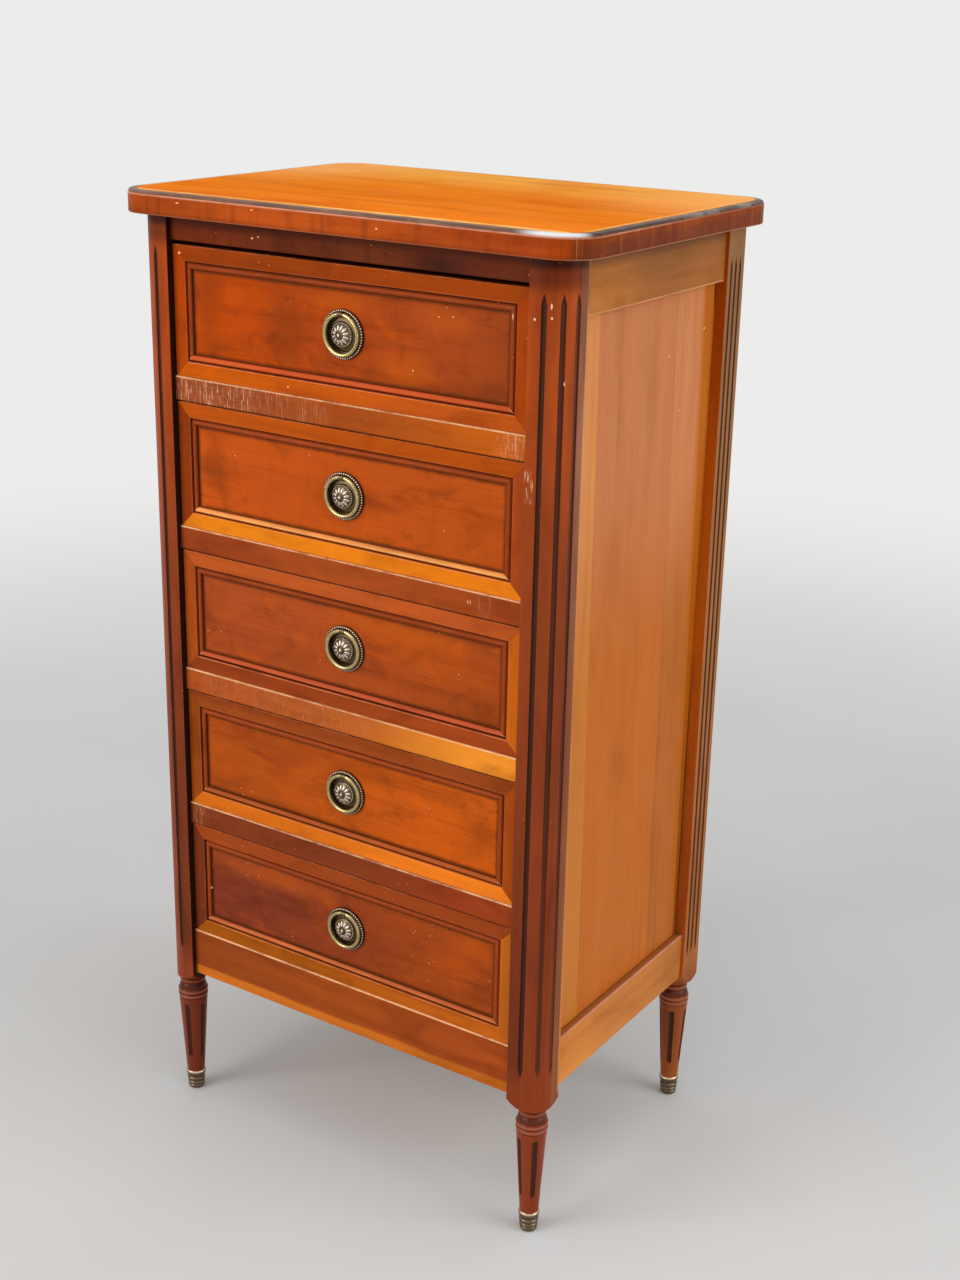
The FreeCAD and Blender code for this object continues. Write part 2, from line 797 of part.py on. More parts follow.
def pull_nut():
    corner = nut_across_corners / 2
    points = [vec(corner * math.cos(math.radians(60 * i)), drawer_front_thickness,
                  corner * math.sin(math.radians(60 * i))) for i in range(6)]
    nut = prism(points, vec(0, nut_thickness, 0))
    hole = pull_bolt_radius + glue_fit
    start = vec(0, drawer_front_thickness - overrun, 0)
    return nut.cut(Part.makeCylinder(hole, nut_thickness + 2 * overrun, start, vec(0, 1, 0)))


def pull_ring():
    """A ring of round wire, open at the knuckle, with a pin on each end."""
    centre = vec(0, -ring_stand_off, 0)
    ring = Part.makeTorus(ring_radius, ring_wire_radius, centre, vec(0, 1, 0))
    half = knuckle_width / 2 + knuckle_side_gap
    front = -ring_stand_off - ring_wire_radius - overrun
    rear = -ring_stand_off + ring_wire_radius + overrun
    ring = ring.cut(block(-half, half, front, rear, 0, ring_radius + ring_wire_radius + overrun))
    pin_root = half + ring_pin_radius
    pin_tip = knuckle_core + knuckle_side_gap
    pins = []
    for way in (1, -1):
        start = vec(way * pin_tip, -ring_stand_off, ring_radius)
        pins.append(Part.makeCylinder(ring_pin_radius, pin_root - pin_tip, start, vec(way, 0, 0)))
    return ring.fuse(pins).removeSplitter()


def make_drawers():
    top = slide_gap + drawer_height
    side_top = top - drawer_side_drop
    floor_low = slide_gap + drawer_bottom_lift
    floor_high = floor_low + drawer_bottom_thickness
    side_inner = drawer_half - drawer_side_thickness
    socket_tip = board_rear - dovetail_lap
    back_front = drawer_rear - drawer_back_thickness
    centre_z = slide_gap + drawer_height / 2

    tray = side_inner + drawer_groove
    bottom = block(-tray, tray, board_rear - drawer_groove, drawer_rear, floor_low, floor_high)

    front_tails = tails(board_rear, socket_tip, slide_gap, side_top)
    back_tails = tails(back_front, drawer_rear, floor_high, side_top)
    heel = block(side_inner, drawer_half, back_front, drawer_rear, slide_gap, floor_high)
    plank = block(side_inner, drawer_half, board_rear, back_front, slide_gap, side_top)
    side = plank.fuse(front_tails + back_tails + [heel]).removeSplitter()

    front = block(-drawer_half, drawer_half, board_face, board_rear, slide_gap, top)
    bolt_hole = pull_bolt_radius + pull_bolt_clearance
    bore = Part.makeCylinder(bolt_hole, drawer_front_thickness, vec(0, board_face, centre_z), vec(0, 1, 0))
    front = front.cut([side, mirrored(side), bottom, bore])

    back = block(-drawer_half, drawer_half, back_front, drawer_rear, floor_high, side_top)
    back = back.cut([side, mirrored(side)])
    side = side.cut(bottom)

    pieces = {
        "front": [front],
        "moulding": make_moulding(),
        "box": [side, mirrored(side), back],
        "bottom": [bottom],
        "pull_plate": [moved(piece, 0, board_face, centre_z) for piece in (pull_plate(), pull_nut())],
        "pull_ring": [moved(pull_ring(), 0, board_face, centre_z)],
    }
    for number in range(1, drawer_count + 1):
        lift = drawer_floor(number)
        for kind, shapes in pieces.items():
            save("drawer_%d_%s" % (number, kind), *[moved(shape, 0, 0, lift) for shape in shapes])


make_top()
make_rails()
make_posts()
make_legs()
make_runners()
make_drawers()
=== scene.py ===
import json
import math

import bmesh
import bpy
from mathutils import Matrix, Vector

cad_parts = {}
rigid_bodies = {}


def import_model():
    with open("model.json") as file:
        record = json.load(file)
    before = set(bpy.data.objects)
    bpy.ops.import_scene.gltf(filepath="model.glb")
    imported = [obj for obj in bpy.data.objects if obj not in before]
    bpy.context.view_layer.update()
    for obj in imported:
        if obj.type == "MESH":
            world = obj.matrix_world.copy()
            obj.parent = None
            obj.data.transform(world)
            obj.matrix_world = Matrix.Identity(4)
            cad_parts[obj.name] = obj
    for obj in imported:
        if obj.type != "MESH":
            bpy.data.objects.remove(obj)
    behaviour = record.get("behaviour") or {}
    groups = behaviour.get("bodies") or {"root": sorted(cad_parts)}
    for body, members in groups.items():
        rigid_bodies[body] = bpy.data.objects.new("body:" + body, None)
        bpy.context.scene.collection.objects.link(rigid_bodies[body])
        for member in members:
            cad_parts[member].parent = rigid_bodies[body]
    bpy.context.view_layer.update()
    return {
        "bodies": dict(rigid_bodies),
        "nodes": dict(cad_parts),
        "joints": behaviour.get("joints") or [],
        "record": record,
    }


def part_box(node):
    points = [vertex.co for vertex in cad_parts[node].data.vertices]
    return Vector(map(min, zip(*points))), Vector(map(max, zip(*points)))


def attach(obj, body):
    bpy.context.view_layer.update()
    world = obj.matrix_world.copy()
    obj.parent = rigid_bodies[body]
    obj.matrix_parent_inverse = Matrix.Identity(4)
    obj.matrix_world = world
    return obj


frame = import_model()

nodes = frame["nodes"]
MM = 0.001


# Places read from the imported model

def node_low(name):
    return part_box(name)[0]


def node_high(name):
    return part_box(name)[1]


drawer_numbers = range(1, 6)
front_low = {n: node_low("drawer_%d_front" % n).z for n in drawer_numbers}
front_high = {n: node_high("drawer_%d_front" % n).z for n in drawer_numbers}
front_centre = {n: (front_low[n] + front_high[n]) / 2 for n in drawer_numbers}
front_half_width = node_high("drawer_1_front").x
board_face = node_low("drawer_1_front").y
frame_face = node_low("drawer_1_moulding").y
pitch = front_low[1] - front_low[2]
post_x = node_high("front_post_right").x
post_front = node_low("front_post_right").y

# Sizes of mouldings and posts that no box gives
post_radius = 30 * MM
band_width = 16.8 * MM
quirk_width = 1.9 * MM
bead_width = 6.6 * MM
bead_start = band_width + quirk_width


# Shader building

def colour(red, green, blue):
    """A display colour, 0 to 255, as the linear colour that a shader takes."""
    linear = []
    for channel in (red, green, blue):
        share = channel / 255
        linear.append(share / 12.92 if share <= 0.04045 else ((share + 0.055) / 1.055) ** 2.4)
    return (*linear, 1.0)


class Shader:
    """A material under construction, with its object coordinates at hand."""

    def __init__(self, name):
        self.material = bpy.data.materials.new(name)
        self.material.use_nodes = True
        self.tree = self.material.node_tree
        self.tree.nodes.clear()
        self.surface = self.node("ShaderNodeBsdfPrincipled")
        self.output = self.node("ShaderNodeOutputMaterial")
        self.tree.links.new(self.surface.outputs[0], self.output.inputs[0])
        self.place = self.node("ShaderNodeTexCoord").outputs["Object"]
        split = self.node("ShaderNodeSeparateXYZ")
        self.put(split.inputs[0], self.place)
        self.x, self.y, self.z = split.outputs
        self.geometry = self.node("ShaderNodeNewGeometry")

    def node(self, kind):
        return self.tree.nodes.new(kind)

    def put(self, socket, value):
        if isinstance(value, bpy.types.NodeSocket):
            self.tree.links.new(value, socket)
        else:
            socket.default_value = value

    def math(self, operation, *values):
        node = self.node("ShaderNodeMath")
        node.operation = operation
        for socket, value in zip(node.inputs, values):
            self.put(socket, value)
        return node.outputs[0]

    def add(self, a, b):
        return self.math("ADD", a, b)

    def sub(self, a, b):
        return self.math("SUBTRACT", a, b)

    def mul(self, first, *others):
        for other in others:
            first = self.math("MULTIPLY", first, other)
        return first

    def min(self, a, b):
        return self.math("MINIMUM", a, b)

    def max(self, first, *others):
        for other in others:
            first = self.math("MAXIMUM", first, other)
        return first

    def abs(self, value):
        return self.math("ABSOLUTE", value)

    def length(self, a, b):
        """Length of a vector, from its two parts."""
        return self.math("SQRT", self.add(self.mul(a, a), self.mul(b, b)))

    def step(self, value, low, high, to_low=0.0, to_high=1.0):
        """Rises smoothly from to_low at low to to_high at high."""
        node = self.node("ShaderNodeMapRange")
        node.interpolation_type = "SMOOTHSTEP"
        for socket, item in zip(node.inputs, (value, low, high, to_low, to_high)):
            self.put(socket, item)
        return node.outputs[0]

    def step_mm(self, value, low, high, to_low=0.0, to_high=1.0):
        """The same with low and high in millimetres."""
        return self.step(value, low * MM, high * MM, to_low, to_high)

    def between(self, value, low, high, soft):
        """1 from low to high, with soft ends."""
        return self.mul(self.step(value, low - soft, low + soft),
                        self.step(value, high + soft, high - soft))

    def between_mm(self, value, low, high, soft):
        """The same with all three places in millimetres."""
        return self.between(value, low * MM, high * MM, soft * MM)

    def mix(self, share, first, second, mode="MIX"):
        node = self.node("ShaderNodeMix")
        node.data_type = "RGBA"
        node.blend_type = mode
        self.put(node.inputs[0], share)
        self.put(node.inputs[6], first)
        self.put(node.inputs[7], second)
        return node.outputs[2]

    def paint(self, tone, mask, share, display):
        """Lay a display colour over a tone: where the mask is 1, as far as the share says."""
        return self.mix(self.mul(mask, share), tone, colour(*display))

    def stretch(self, scales, offset=0.0):
        node = self.node("ShaderNodeVectorMath")
        node.operation = "MULTIPLY_ADD"
        self.put(node.inputs[0], self.place)
        self.put(node.inputs[1], scales)
        self.put(node.inputs[2], (offset, offset * 1.7, offset * 0.6))
        return node.outputs[0]

    def noise(self, scales, seed=0.0, detail=3.0, rough=0.55, warp=0.0):
        node = self.node("ShaderNodeTexNoise")
        self.put(node.inputs["Vector"], self.stretch(scales, seed))
        self.put(node.inputs["Scale"], 1.0)
        self.put(node.inputs["Detail"], detail)
        self.put(node.inputs["Roughness"], rough)
        self.put(node.inputs["Distortion"], warp)
        return node.outputs[0]

    def cells(self, scales, seed=0.0):
        """Distance to the nearest of scattered points, for specks."""
        node = self.node("ShaderNodeTexVoronoi")
        self.put(node.inputs["Vector"], self.stretch(scales, seed))
        self.put(node.inputs["Scale"], 1.0)
        return node.outputs["Distance"]

    def arris(self, radius):
        """A rounded normal, and a mask of the edges that it rounds."""
        bevel = self.node("ShaderNodeBevel")
        bevel.samples = 4
        bevel.inputs["Radius"].default_value = radius
        dot = self.node("ShaderNodeVectorMath")
        dot.operation = "DOT_PRODUCT"
        self.put(dot.inputs[0], bevel.outputs[0])
        self.put(dot.inputs[1], self.geometry.outputs["Normal"])
        return bevel.outputs[0], self.step(self.sub(1.0, dot.outputs["Value"]), 0.02, 0.3)

    def bump(self, height, distance, normal=None, strength=1.0):
        node = self.node("ShaderNodeBump")
        node.inputs["Strength"].default_value = strength
        node.inputs["Distance"].default_value = distance
        self.put(node.inputs["Height"], height)
        if normal is not None:
            self.put(node.inputs["Normal"], normal)
        return node.outputs[0]

    def finish(self, base, rough, normal=None, metallic=0.0, coat=0.0, specular=0.5):
        """Set the surface, and return the finished material."""
        self.put(self.surface.inputs["Base Color"], base)
        self.put(self.surface.inputs["Roughness"], rough)
        self.surface.inputs["Metallic"].default_value = metallic
        self.surface.inputs["Coat Weight"].default_value = coat
        self.surface.inputs["Coat Roughness"].default_value = 0.2
        self.surface.inputs["Specular IOR Level"].default_value = specular
        if normal is not None:
            self.put(self.surface.inputs["Normal"], normal)
        return self.material


AXIS = {"x": 0, "y": 1, "z": 2}


def along(axis, fine, coarse):
    """Noise scales that draw a pattern out along one axis."""
    scales = [fine, fine, fine]
    scales[AXIS[axis]] = coarse
    return tuple(scales)


def tinted(base, factor):
    """A display colour made darker or lighter by a factor."""
    return tuple(min(255, max(0, channel * factor)) for channel in base)


def graded(s, value, stops):
    """A colour that passes through stops of (place, display colour)."""
    tone = colour(*stops[0][1])
    for (low, _), (high, shade) in zip(stops[:-1], stops[1:]):
        tone = s.mix(s.step(value, low, high), tone, colour(*shade))
    return tone


def wood_colour(s, axis, base, seed, streaks=0.5, blotches=0.5, fibre=0.35, blotch=(20, 20, 14),
                dark=(186, 164, 140), light=(1.34, 1.32, 1.2)):
    """Colour of one board: broad streaks along the grain, soft clouds and fine fibres."""
    deep = s.mix(1.0, base, colour(*dark), "MULTIPLY")
    pale = s.mix(1.0, base, (*light, 1.0), "MULTIPLY")
    broad = s.noise(along(axis, 42, 2.2), seed, 4, 0.6, 0.35)
    cloud = s.noise(blotch, seed + 3.1, 3, 0.55, 0.8)
    fine = s.noise(along(axis, 520, 9), seed + 7.7, 4, 0.65)
    pores = s.noise(along(axis, 1900, 42), seed + 11.3, 2, 0.5)
    tone = s.mix(s.mul(s.step(broad, 0.5, 0.76), streaks), base, deep)
    tone = s.mix(s.mul(s.step(broad, 0.5, 0.26), streaks), tone, pale)
    tone = s.mix(s.mul(s.step(cloud, 0.5, 0.74), blotches), tone, deep)
    tone = s.mix(s.mul(s.step(cloud, 0.5, 0.27), blotches), tone, pale)
    tone = s.mix(s.mul(s.step(fine, 0.5, 0.78), fibre), tone, deep)
    tone = s.mix(s.mul(s.step(pores, 0.62, 0.8), fibre * 0.7), tone, deep)
    return tone, fine, cloud


def oval_reach(s, side, across, level, half_width, half_height):
    """Distance from (across, level), in shares of an oval's half width and half height."""
    u = s.mul(s.sub(side, across), 1 / (half_width * MM))
    v = s.mul(s.sub(s.z, level), 1 / (half_height * MM))
    return s.length(u, v)


def chipped(s, tone, places, across="x", bare=(250, 190, 140)):
    """Small chips and dents, each a ragged spot at (place across, level, half width, half height) in mm."""
    ragged = s.noise((620, 620, 620), 2.5, 2)
    side = s.x if across == "x" else s.y
    for along_mm, level_mm, half_width, half_height in places:
        reach = oval_reach(s, side, along_mm * MM, level_mm * MM, half_width, half_height)
        spot = s.step(s.add(reach, s.mul(ragged, 0.8)), 1.5, 1.1)
        tone = s.mix(spot, tone, colour(*bare))
    return tone


def lacquer(s, tone, fine, cloud, edge_colour, edge_share=0.6, edge_radius=0.9, rough=(0.32, 0.48),
            coat=0.0, nicks=(70, 70, 70), seed=0.0, specks=0.5, specular=0.05):
    """Finish one board: worn arrises, scattered chips, a rubbed sheen and fine relief."""
    normal, edges = s.arris(edge_radius * MM)
    worn = s.noise(nicks, seed + 21.0, 4, 0.7)
    wear = s.mul(edges, s.step(worn, 0.40, 0.62), edge_share)
    tone = s.mix(wear, tone, edge_colour)
    dots = s.cells((85, 85, 85), seed + 5.0)
    patch = s.noise((14, 14, 14), seed + 31.0, 2)
    chips = s.mul(s.step(dots, 0.095, 0.06), s.step(patch, 0.5, 0.62), specks)
    tone = s.mix(chips, tone, edge_colour)
    sheen = s.step(s.add(s.mul(cloud, 0.6), s.mul(fine, 0.4)), 0.35, 0.65, rough[0], rough[1])
    sheen = s.max(sheen, s.mul(s.max(wear, chips), 0.6))
    relief = s.sub(s.mul(fine, 0.5), s.mul(chips, 3.0))
    relief = s.bump(relief, 0.06 * MM, normal, 0.5)
    return s.finish(tone, sheen, relief, coat=coat, specular=specular)


def plain_board(name, axis, base, seed, blotches, specks):
    """Bare inner wood of one colour range."""
    s = Shader(name)
    tone, fine, cloud = wood_colour(s, axis, colour(*base), seed, streaks=0.6, blotches=blotches,
                                    dark=(206, 196, 184), light=(1.12, 1.14, 1.2))
    return lacquer(s, tone, fine, cloud, colour(*tinted(base, 1.4)), edge_share=0.2, rough=(0.5, 0.65),
                   seed=seed, specks=specks)


def dress(name, material):
    """Give a CAD node its material."""
    mesh = nodes[name].data
    mesh.materials.clear()
    mesh.materials.append(material)


def dress_pair(stem, material):
    """Give the left and the right node of a pair the same material."""
    for side in ("left", "right"):
        dress("%s_%s" % (stem, side), material)


# The top

board_corner = node_high("top_board")
slab_corner = node_high("top_edge_moulding")
fillet_corner = 462 * MM


def top_material():
    s = Shader("top_veneer")
    # Graded from front to back; the paler rear tone is partly a painted sheen.
    base = graded(s, s.y, ((-0.19, (231, 122, 14)), (0.0, (224, 121, 3)), (0.19, (232, 160, 64))))
    tone, fine, cloud = wood_colour(s, "x", base, 1.0, streaks=0.7, blotches=0.35, fibre=0.5,
                                    blotch=(7, 16, 10), dark=(224, 196, 150), light=(1.1, 1.16, 1.3))
    edge_x = s.sub(board_corner.x, s.abs(s.x))
    edge_y = s.sub(board_corner.y, s.abs(s.y))
    rim = s.min(edge_x, edge_y)
    worn = s.noise((30, 30, 30), 4.0, 3)
    tone = s.paint(tone, s.step_mm(rim, 5, 0.5), s.step(worn, 0.3, 0.6, 0.5, 1.0), (236, 160, 74))
    # Painted highlight along the front arris, weaker along the side arrises, broken by noise.
    front_rim = s.mul(s.step_mm(edge_y, 7.5, 4.5), s.step(s.y, 0.0, -0.1))
    side_rim = s.mul(s.step_mm(edge_x, 3.5, 1.5), 0.6)
    lit = s.mul(s.max(front_rim, side_rim), s.step(worn, 0.35, 0.55, 0.45, 0.95))
    tone = s.mix(lit, tone, colour(255, 196, 112))
    red = s.noise((5, 9, 5), 9.0, 2)
    tone = s.paint(tone, s.step(red, 0.52, 0.7), 0.4, (206, 92, 12))
    # A painted sheen, paler towards the back and towards both ends.
    pale = s.mul(s.step_mm(s.abs(s.x), 110, 290), s.step_mm(s.y, -80, 120))
    tone = s.paint(tone, pale, 0.62, (244, 172, 98))
    return lacquer(s, tone, fine, cloud, colour(250, 190, 110), edge_share=0.7, rough=(0.36, 0.5), seed=2.0,
                   specular=0.001)


def slab_edge_material():
    s = Shader("slab_edge")
    base = graded(s, s.x, ((-0.26, (160, 66, 12)), (-0.02, (184, 78, 18)), (0.24, (170, 68, 14))))
    sides = s.step_mm(s.abs(s.x), 270, 284)
    base = s.mix(sides, base, s.mix(s.step_mm(s.z, 1106, 1112), colour(116, 52, 18), colour(136, 58, 12)))
    tone, fine, cloud = wood_colour(s, "x", base, 12.0, streaks=0.5, blotches=0.4, blotch=(16, 16, 30))
    upright = s.noise((90, 90, 6), 3.0, 3, 0.6)
    mottle = s.mul(s.step(upright, 0.5, 0.72), s.add(0.4, s.mul(sides, 0.3)))
    tone = s.mix(mottle, tone, colour(104, 38, 12))
    tone = s.paint(tone, s.step(upright, 0.46, 0.26), s.mul(sides, 0.4), (164, 84, 40))
    mitre = s.abs(s.sub(s.add(s.abs(s.x), s.y), slab_corner.x - slab_corner.y))
    seam = s.step_mm(mitre, 0.7, 0.3)
    tone = s.paint(tone, seam, 0.5, (216, 130, 70))
    lower = s.step_mm(s.z, 1101, 1096.5)
    tone = s.paint(tone, lower, 0.35, (96, 34, 12))
    worn = s.noise((34, 34, 34), 6.0, 4, 0.7)
    front = s.step_mm(s.y, -204, -207)
    marked = chipped(s, tone, ((-199, 1110.5, 2.4, 0.8), (60, 1106.5, 1.6, 0.9), (-98, 1111.5, 1.8, 0.7)))
    tone = s.mix(front, tone, marked)
    # Painted highlight and wear along the upper arris.
    rim = s.mul(s.step_mm(s.z, 1113.9, 1115.4), s.step(worn, 0.3, 0.6, 0.4, 0.9))
    rim = s.mul(rim, s.sub(1.0, s.mul(sides, s.step_mm(s.y, -150, 60, 0.15, 0.75))))
    tone = s.mix(rim, tone, colour(216, 146, 116))
    low_arris = s.mul(s.step_mm(s.z, 1096.8, 1095.2), s.add(0.4, s.mul(sides, 0.45)))
    tone = s.mix(low_arris, tone, colour(178, 124, 94))
    return lacquer(s, tone, fine, cloud, colour(216, 130, 88), edge_share=0.7, rough=(0.3, 0.42), seed=5.0,
                   specular=0.04)


def black_material():
    """Black fillet, rubbed brown, with a browner front that is partly a painted reflection, darker painted
    sides with pale grey painted reflections towards their back, and a pale glint painted along the front
    right corner.
    """
    s = Shader("ebonised")
    grain = s.noise((14, 14, 60), 2.0, 4, 0.6)
    wear = s.noise((40, 40, 40), 7.0, 5, 0.7)
    tone = s.mix(s.step(grain, 0.4, 0.7), colour(98, 66, 52), colour(146, 104, 84))
    tone = s.paint(tone, s.step(wear, 0.58, 0.72), 0.6, (140, 98, 72))
    # The sides are painted darker than the front, which carries part of the painted reflection.
    aside = s.step_mm(s.abs(s.x), 276, 286)
    tone = s.paint(tone, aside, 0.85, (64, 45, 36))
    # Painted pale grey reflections towards the back of the sides.
    reflection_noise = s.noise((16, 16, 16), 11.0, 4, 0.7)
    behind = s.mul(aside, s.step_mm(s.y, -60, 80), s.step(reflection_noise, 0.42, 0.6))
    tone = s.paint(tone, behind, 0.6, (168, 158, 150))
    bend = s.abs(s.sub(s.sub(s.x, s.y), fillet_corner))
    glint = s.mul(s.step_mm(bend, 42, 8), s.step_mm(s.y, -178, -196), s.step(s.x, 0.0, 0.1))
    tone = s.paint(tone, glint, 0.92, (228, 226, 224))
    normal, edges = s.arris(0.8 * MM)
    tone = s.paint(tone, s.mul(edges, s.step(wear, 0.45, 0.62)), 0.6, (140, 96, 62))
    rough = s.step(wear, 0.35, 0.7, 0.3, 0.5)
    return s.finish(tone, rough, s.bump(wear, 0.08 * MM, normal, 0.4), specular=0.16)


# Posts, rails and sides

def front_post_material():
    """Post with dark flutes, graded by height with painted shade low down and under the top, and with lit and
    shaded tones for each face by the way it turns.
    """
    s = Shader("post_front")
    wide = s.abs(s.x)
    dx = s.sub(wide, post_x - post_radius)
    dy = s.sub(post_front + post_radius, s.y)
    # Painted shade: darker low down, lighter towards the top.
    base = graded(s, s.z, ((0.18, (136, 58, 26)), (0.23, (112, 48, 22)), (0.42, (122, 53, 23)),
                           (0.68, (140, 60, 24)), (1.0, (166, 69, 17))))
    # The turned side is given its own tone for how light falls on it.
    turned_side = s.step_mm(s.sub(wide, s.y), 438, 441)
    side_tone = graded(s, s.z, ((0.20, (140, 60, 28)), (0.42, (136, 59, 28)), (0.68, (136, 60, 28)),
                                (1.0, (164, 71, 26))))
    base = s.mix(turned_side, base, side_tone)
    # The outer side face is given a paler tone: a painted sheen.
    outward = s.step_mm(s.y, -171, -167)
    painted_sheen_tone = graded(s, s.z, ((0.2, (142, 79, 47)), (0.62, (124, 69, 40)), (0.95, (156, 100, 74)),
                                 (1.04, (134, 80, 54))))
    base = s.mix(outward, base, painted_sheen_tone)
    # Painted shadow under the top's overhang, with a near-black band just below it.
    shade_under_top = s.step_mm(s.z, 1056, 1074)
    base = s.mix(s.mul(shade_under_top, 0.8), base, s.mix(outward, colour(98, 38, 8), colour(112, 60, 38)))
    base = s.paint(base, s.step_mm(s.z, 1080, 1089), 0.85, (46, 16, 4))
    tone, fine, cloud = wood_colour(s, "z", base, 20.0, streaks=0.5, blotches=0.45, blotch=(26, 26, 7))
    round_x = s.max(dx, 0.0)
    round_y = s.max(dy, 0.0)
    reach = s.length(round_x, round_y)
    flat = s.min(s.max(dx, dy), 0.0)
    sunk = s.sub(post_radius, s.add(reach, flat))
    above_toe = s.step_mm(s.z, 198, 203)
    # The flute colours change with the way each flute turns, and the lit wall is lighter: painted light and
    # shade in the flutes.
    turn = s.step_mm(s.sub(dy, dx), -26, 26)
    glaze = s.noise((90, 90, 12), 3.0, 4, 0.6)
    hollow = s.mix(turn, colour(82, 36, 20), colour(60, 30, 20))
    lit_wall = s.mul(s.step(s.z, 0.6, 0.3), s.step_mm(s.sub(dy, dx), 12, 4))
    hollow = s.paint(hollow, lit_wall, 0.45, (136, 66, 38))
    centre = s.mix(turn, colour(116, 64, 44), colour(74, 40, 26))
    in_flute = s.mul(s.step_mm(sunk, 0.1, 0.5), above_toe, s.step(glaze, 0.25, 0.5, 0.85, 0.97))
    tone = s.mix(in_flute, tone, hollow)
    mid_flute = s.mul(s.step_mm(sunk, 1.5, 2.1), above_toe, s.step(glaze, 0.3, 0.6, 0.3, 0.9))
    tone = s.mix(mid_flute, tone, centre)
    # The inner side faces beside the drawers are painted near black: painted shade in the gap, with dark dirt
    # and stain.
    inside = s.mul(s.step_mm(wide, 230, 229.3), s.step_mm(s.y, -193.9, -193.2))
    tone = s.paint(tone, inside, 0.93, (40, 20, 12))
    arris = s.between_mm(sunk, -0.02, 0.12, 0.02)
    strip = s.mul(s.step_mm(s.y, -158.0, -157.0), s.step(wide, post_x - 1 * MM, post_x - 0.4 * MM))
    strip_tone = graded(s, s.z, ((0.22, (196, 120, 54)), (0.6, (188, 110, 44)), (0.9, (212, 138, 80)),
                                 (1.03, (200, 130, 76)), (1.06, (150, 92, 46))))
    tone = s.mix(s.mul(strip, s.step_mm(s.z, 178, 181), 0.9), tone, strip_tone)
    # Painted highlight along the arris beside the side frame, broken by noise.
    beside = s.between_mm(s.y, -156, -153, 0.4)
    rubbed = s.noise((60, 60, 9), 5.0, 4, 0.7)
    tone = s.paint(tone, s.mul(beside, arris), s.step(rubbed, 0.4, 0.65, 0.05, 0.4), (222, 160, 114))
    scuffed = s.mul(s.between_mm(s.z, 858, 888, 5), s.between_mm(s.x, 229, 240, 1))
    scratch = s.noise((700, 700, 90), 8.0, 4, 0.7)
    tone = s.paint(tone, scuffed, s.step(scratch, 0.5, 0.62), (226, 176, 140))
    tone = chipped(s, tone, ((253.0, 1049.5, 0.9, 3.2), (253.5, 1038.5, 1.0, 1.6), (264.5, 976, 0.8, 2.2),
                             (236, 1036, 1.2, 1.6)), bare=(252, 204, 170))
    return lacquer(s, tone, fine, cloud, colour(214, 136, 96), edge_share=0.75, edge_radius=0.8,
                   rough=(0.3, 0.42), nicks=(60, 60, 16), seed=6.0, specular=0.07)


def rear_post_material():
    s = Shader("post_rear")
    base = graded(s, s.z, ((0.17, (146, 76, 34)), (0.21, (162, 96, 48)), (0.42, (162, 100, 54)),
                           (0.6, (154, 98, 54)), (1.05, (142, 100, 62))))
    # The forward face is given its own tone for how light falls on it: painted light.
    forward = s.step_mm(s.y, 141.5, 140.4)
    forward_tone = graded(s, s.z, ((0.3, (186, 92, 30)), (0.7, (196, 100, 22)), (1.0, (172, 78, 8))))
    base = s.mix(forward, base, forward_tone)
    tone, fine, cloud = wood_colour(s, "z", base, 26.0, streaks=0.4, blotches=0.3, blotch=(26, 26, 7))
    # Painted shade on the inner side face beside the side panel.
    inside = s.mul(s.step(s.abs(s.x), post_x - 0.10 * MM, post_x - 0.6 * MM),
                   s.between_mm(s.y, 145.5, 173.5, 0.3))
    tone = s.paint(tone, s.mul(inside, s.step_mm(s.z, 200, 206)), 0.9, (76, 40, 20))
    return lacquer(s, tone, fine, cloud, colour(220, 160, 112), edge_share=0.85, rough=(0.34, 0.46),
                   seed=7.0)


def upper_rim(s, high):
    """Mask of a front rail's upper front arris."""
    return s.mul(s.step(s.z, high - 2.0 * MM, high - 0.8 * MM), s.step_mm(s.y, -183.5, -185.8))


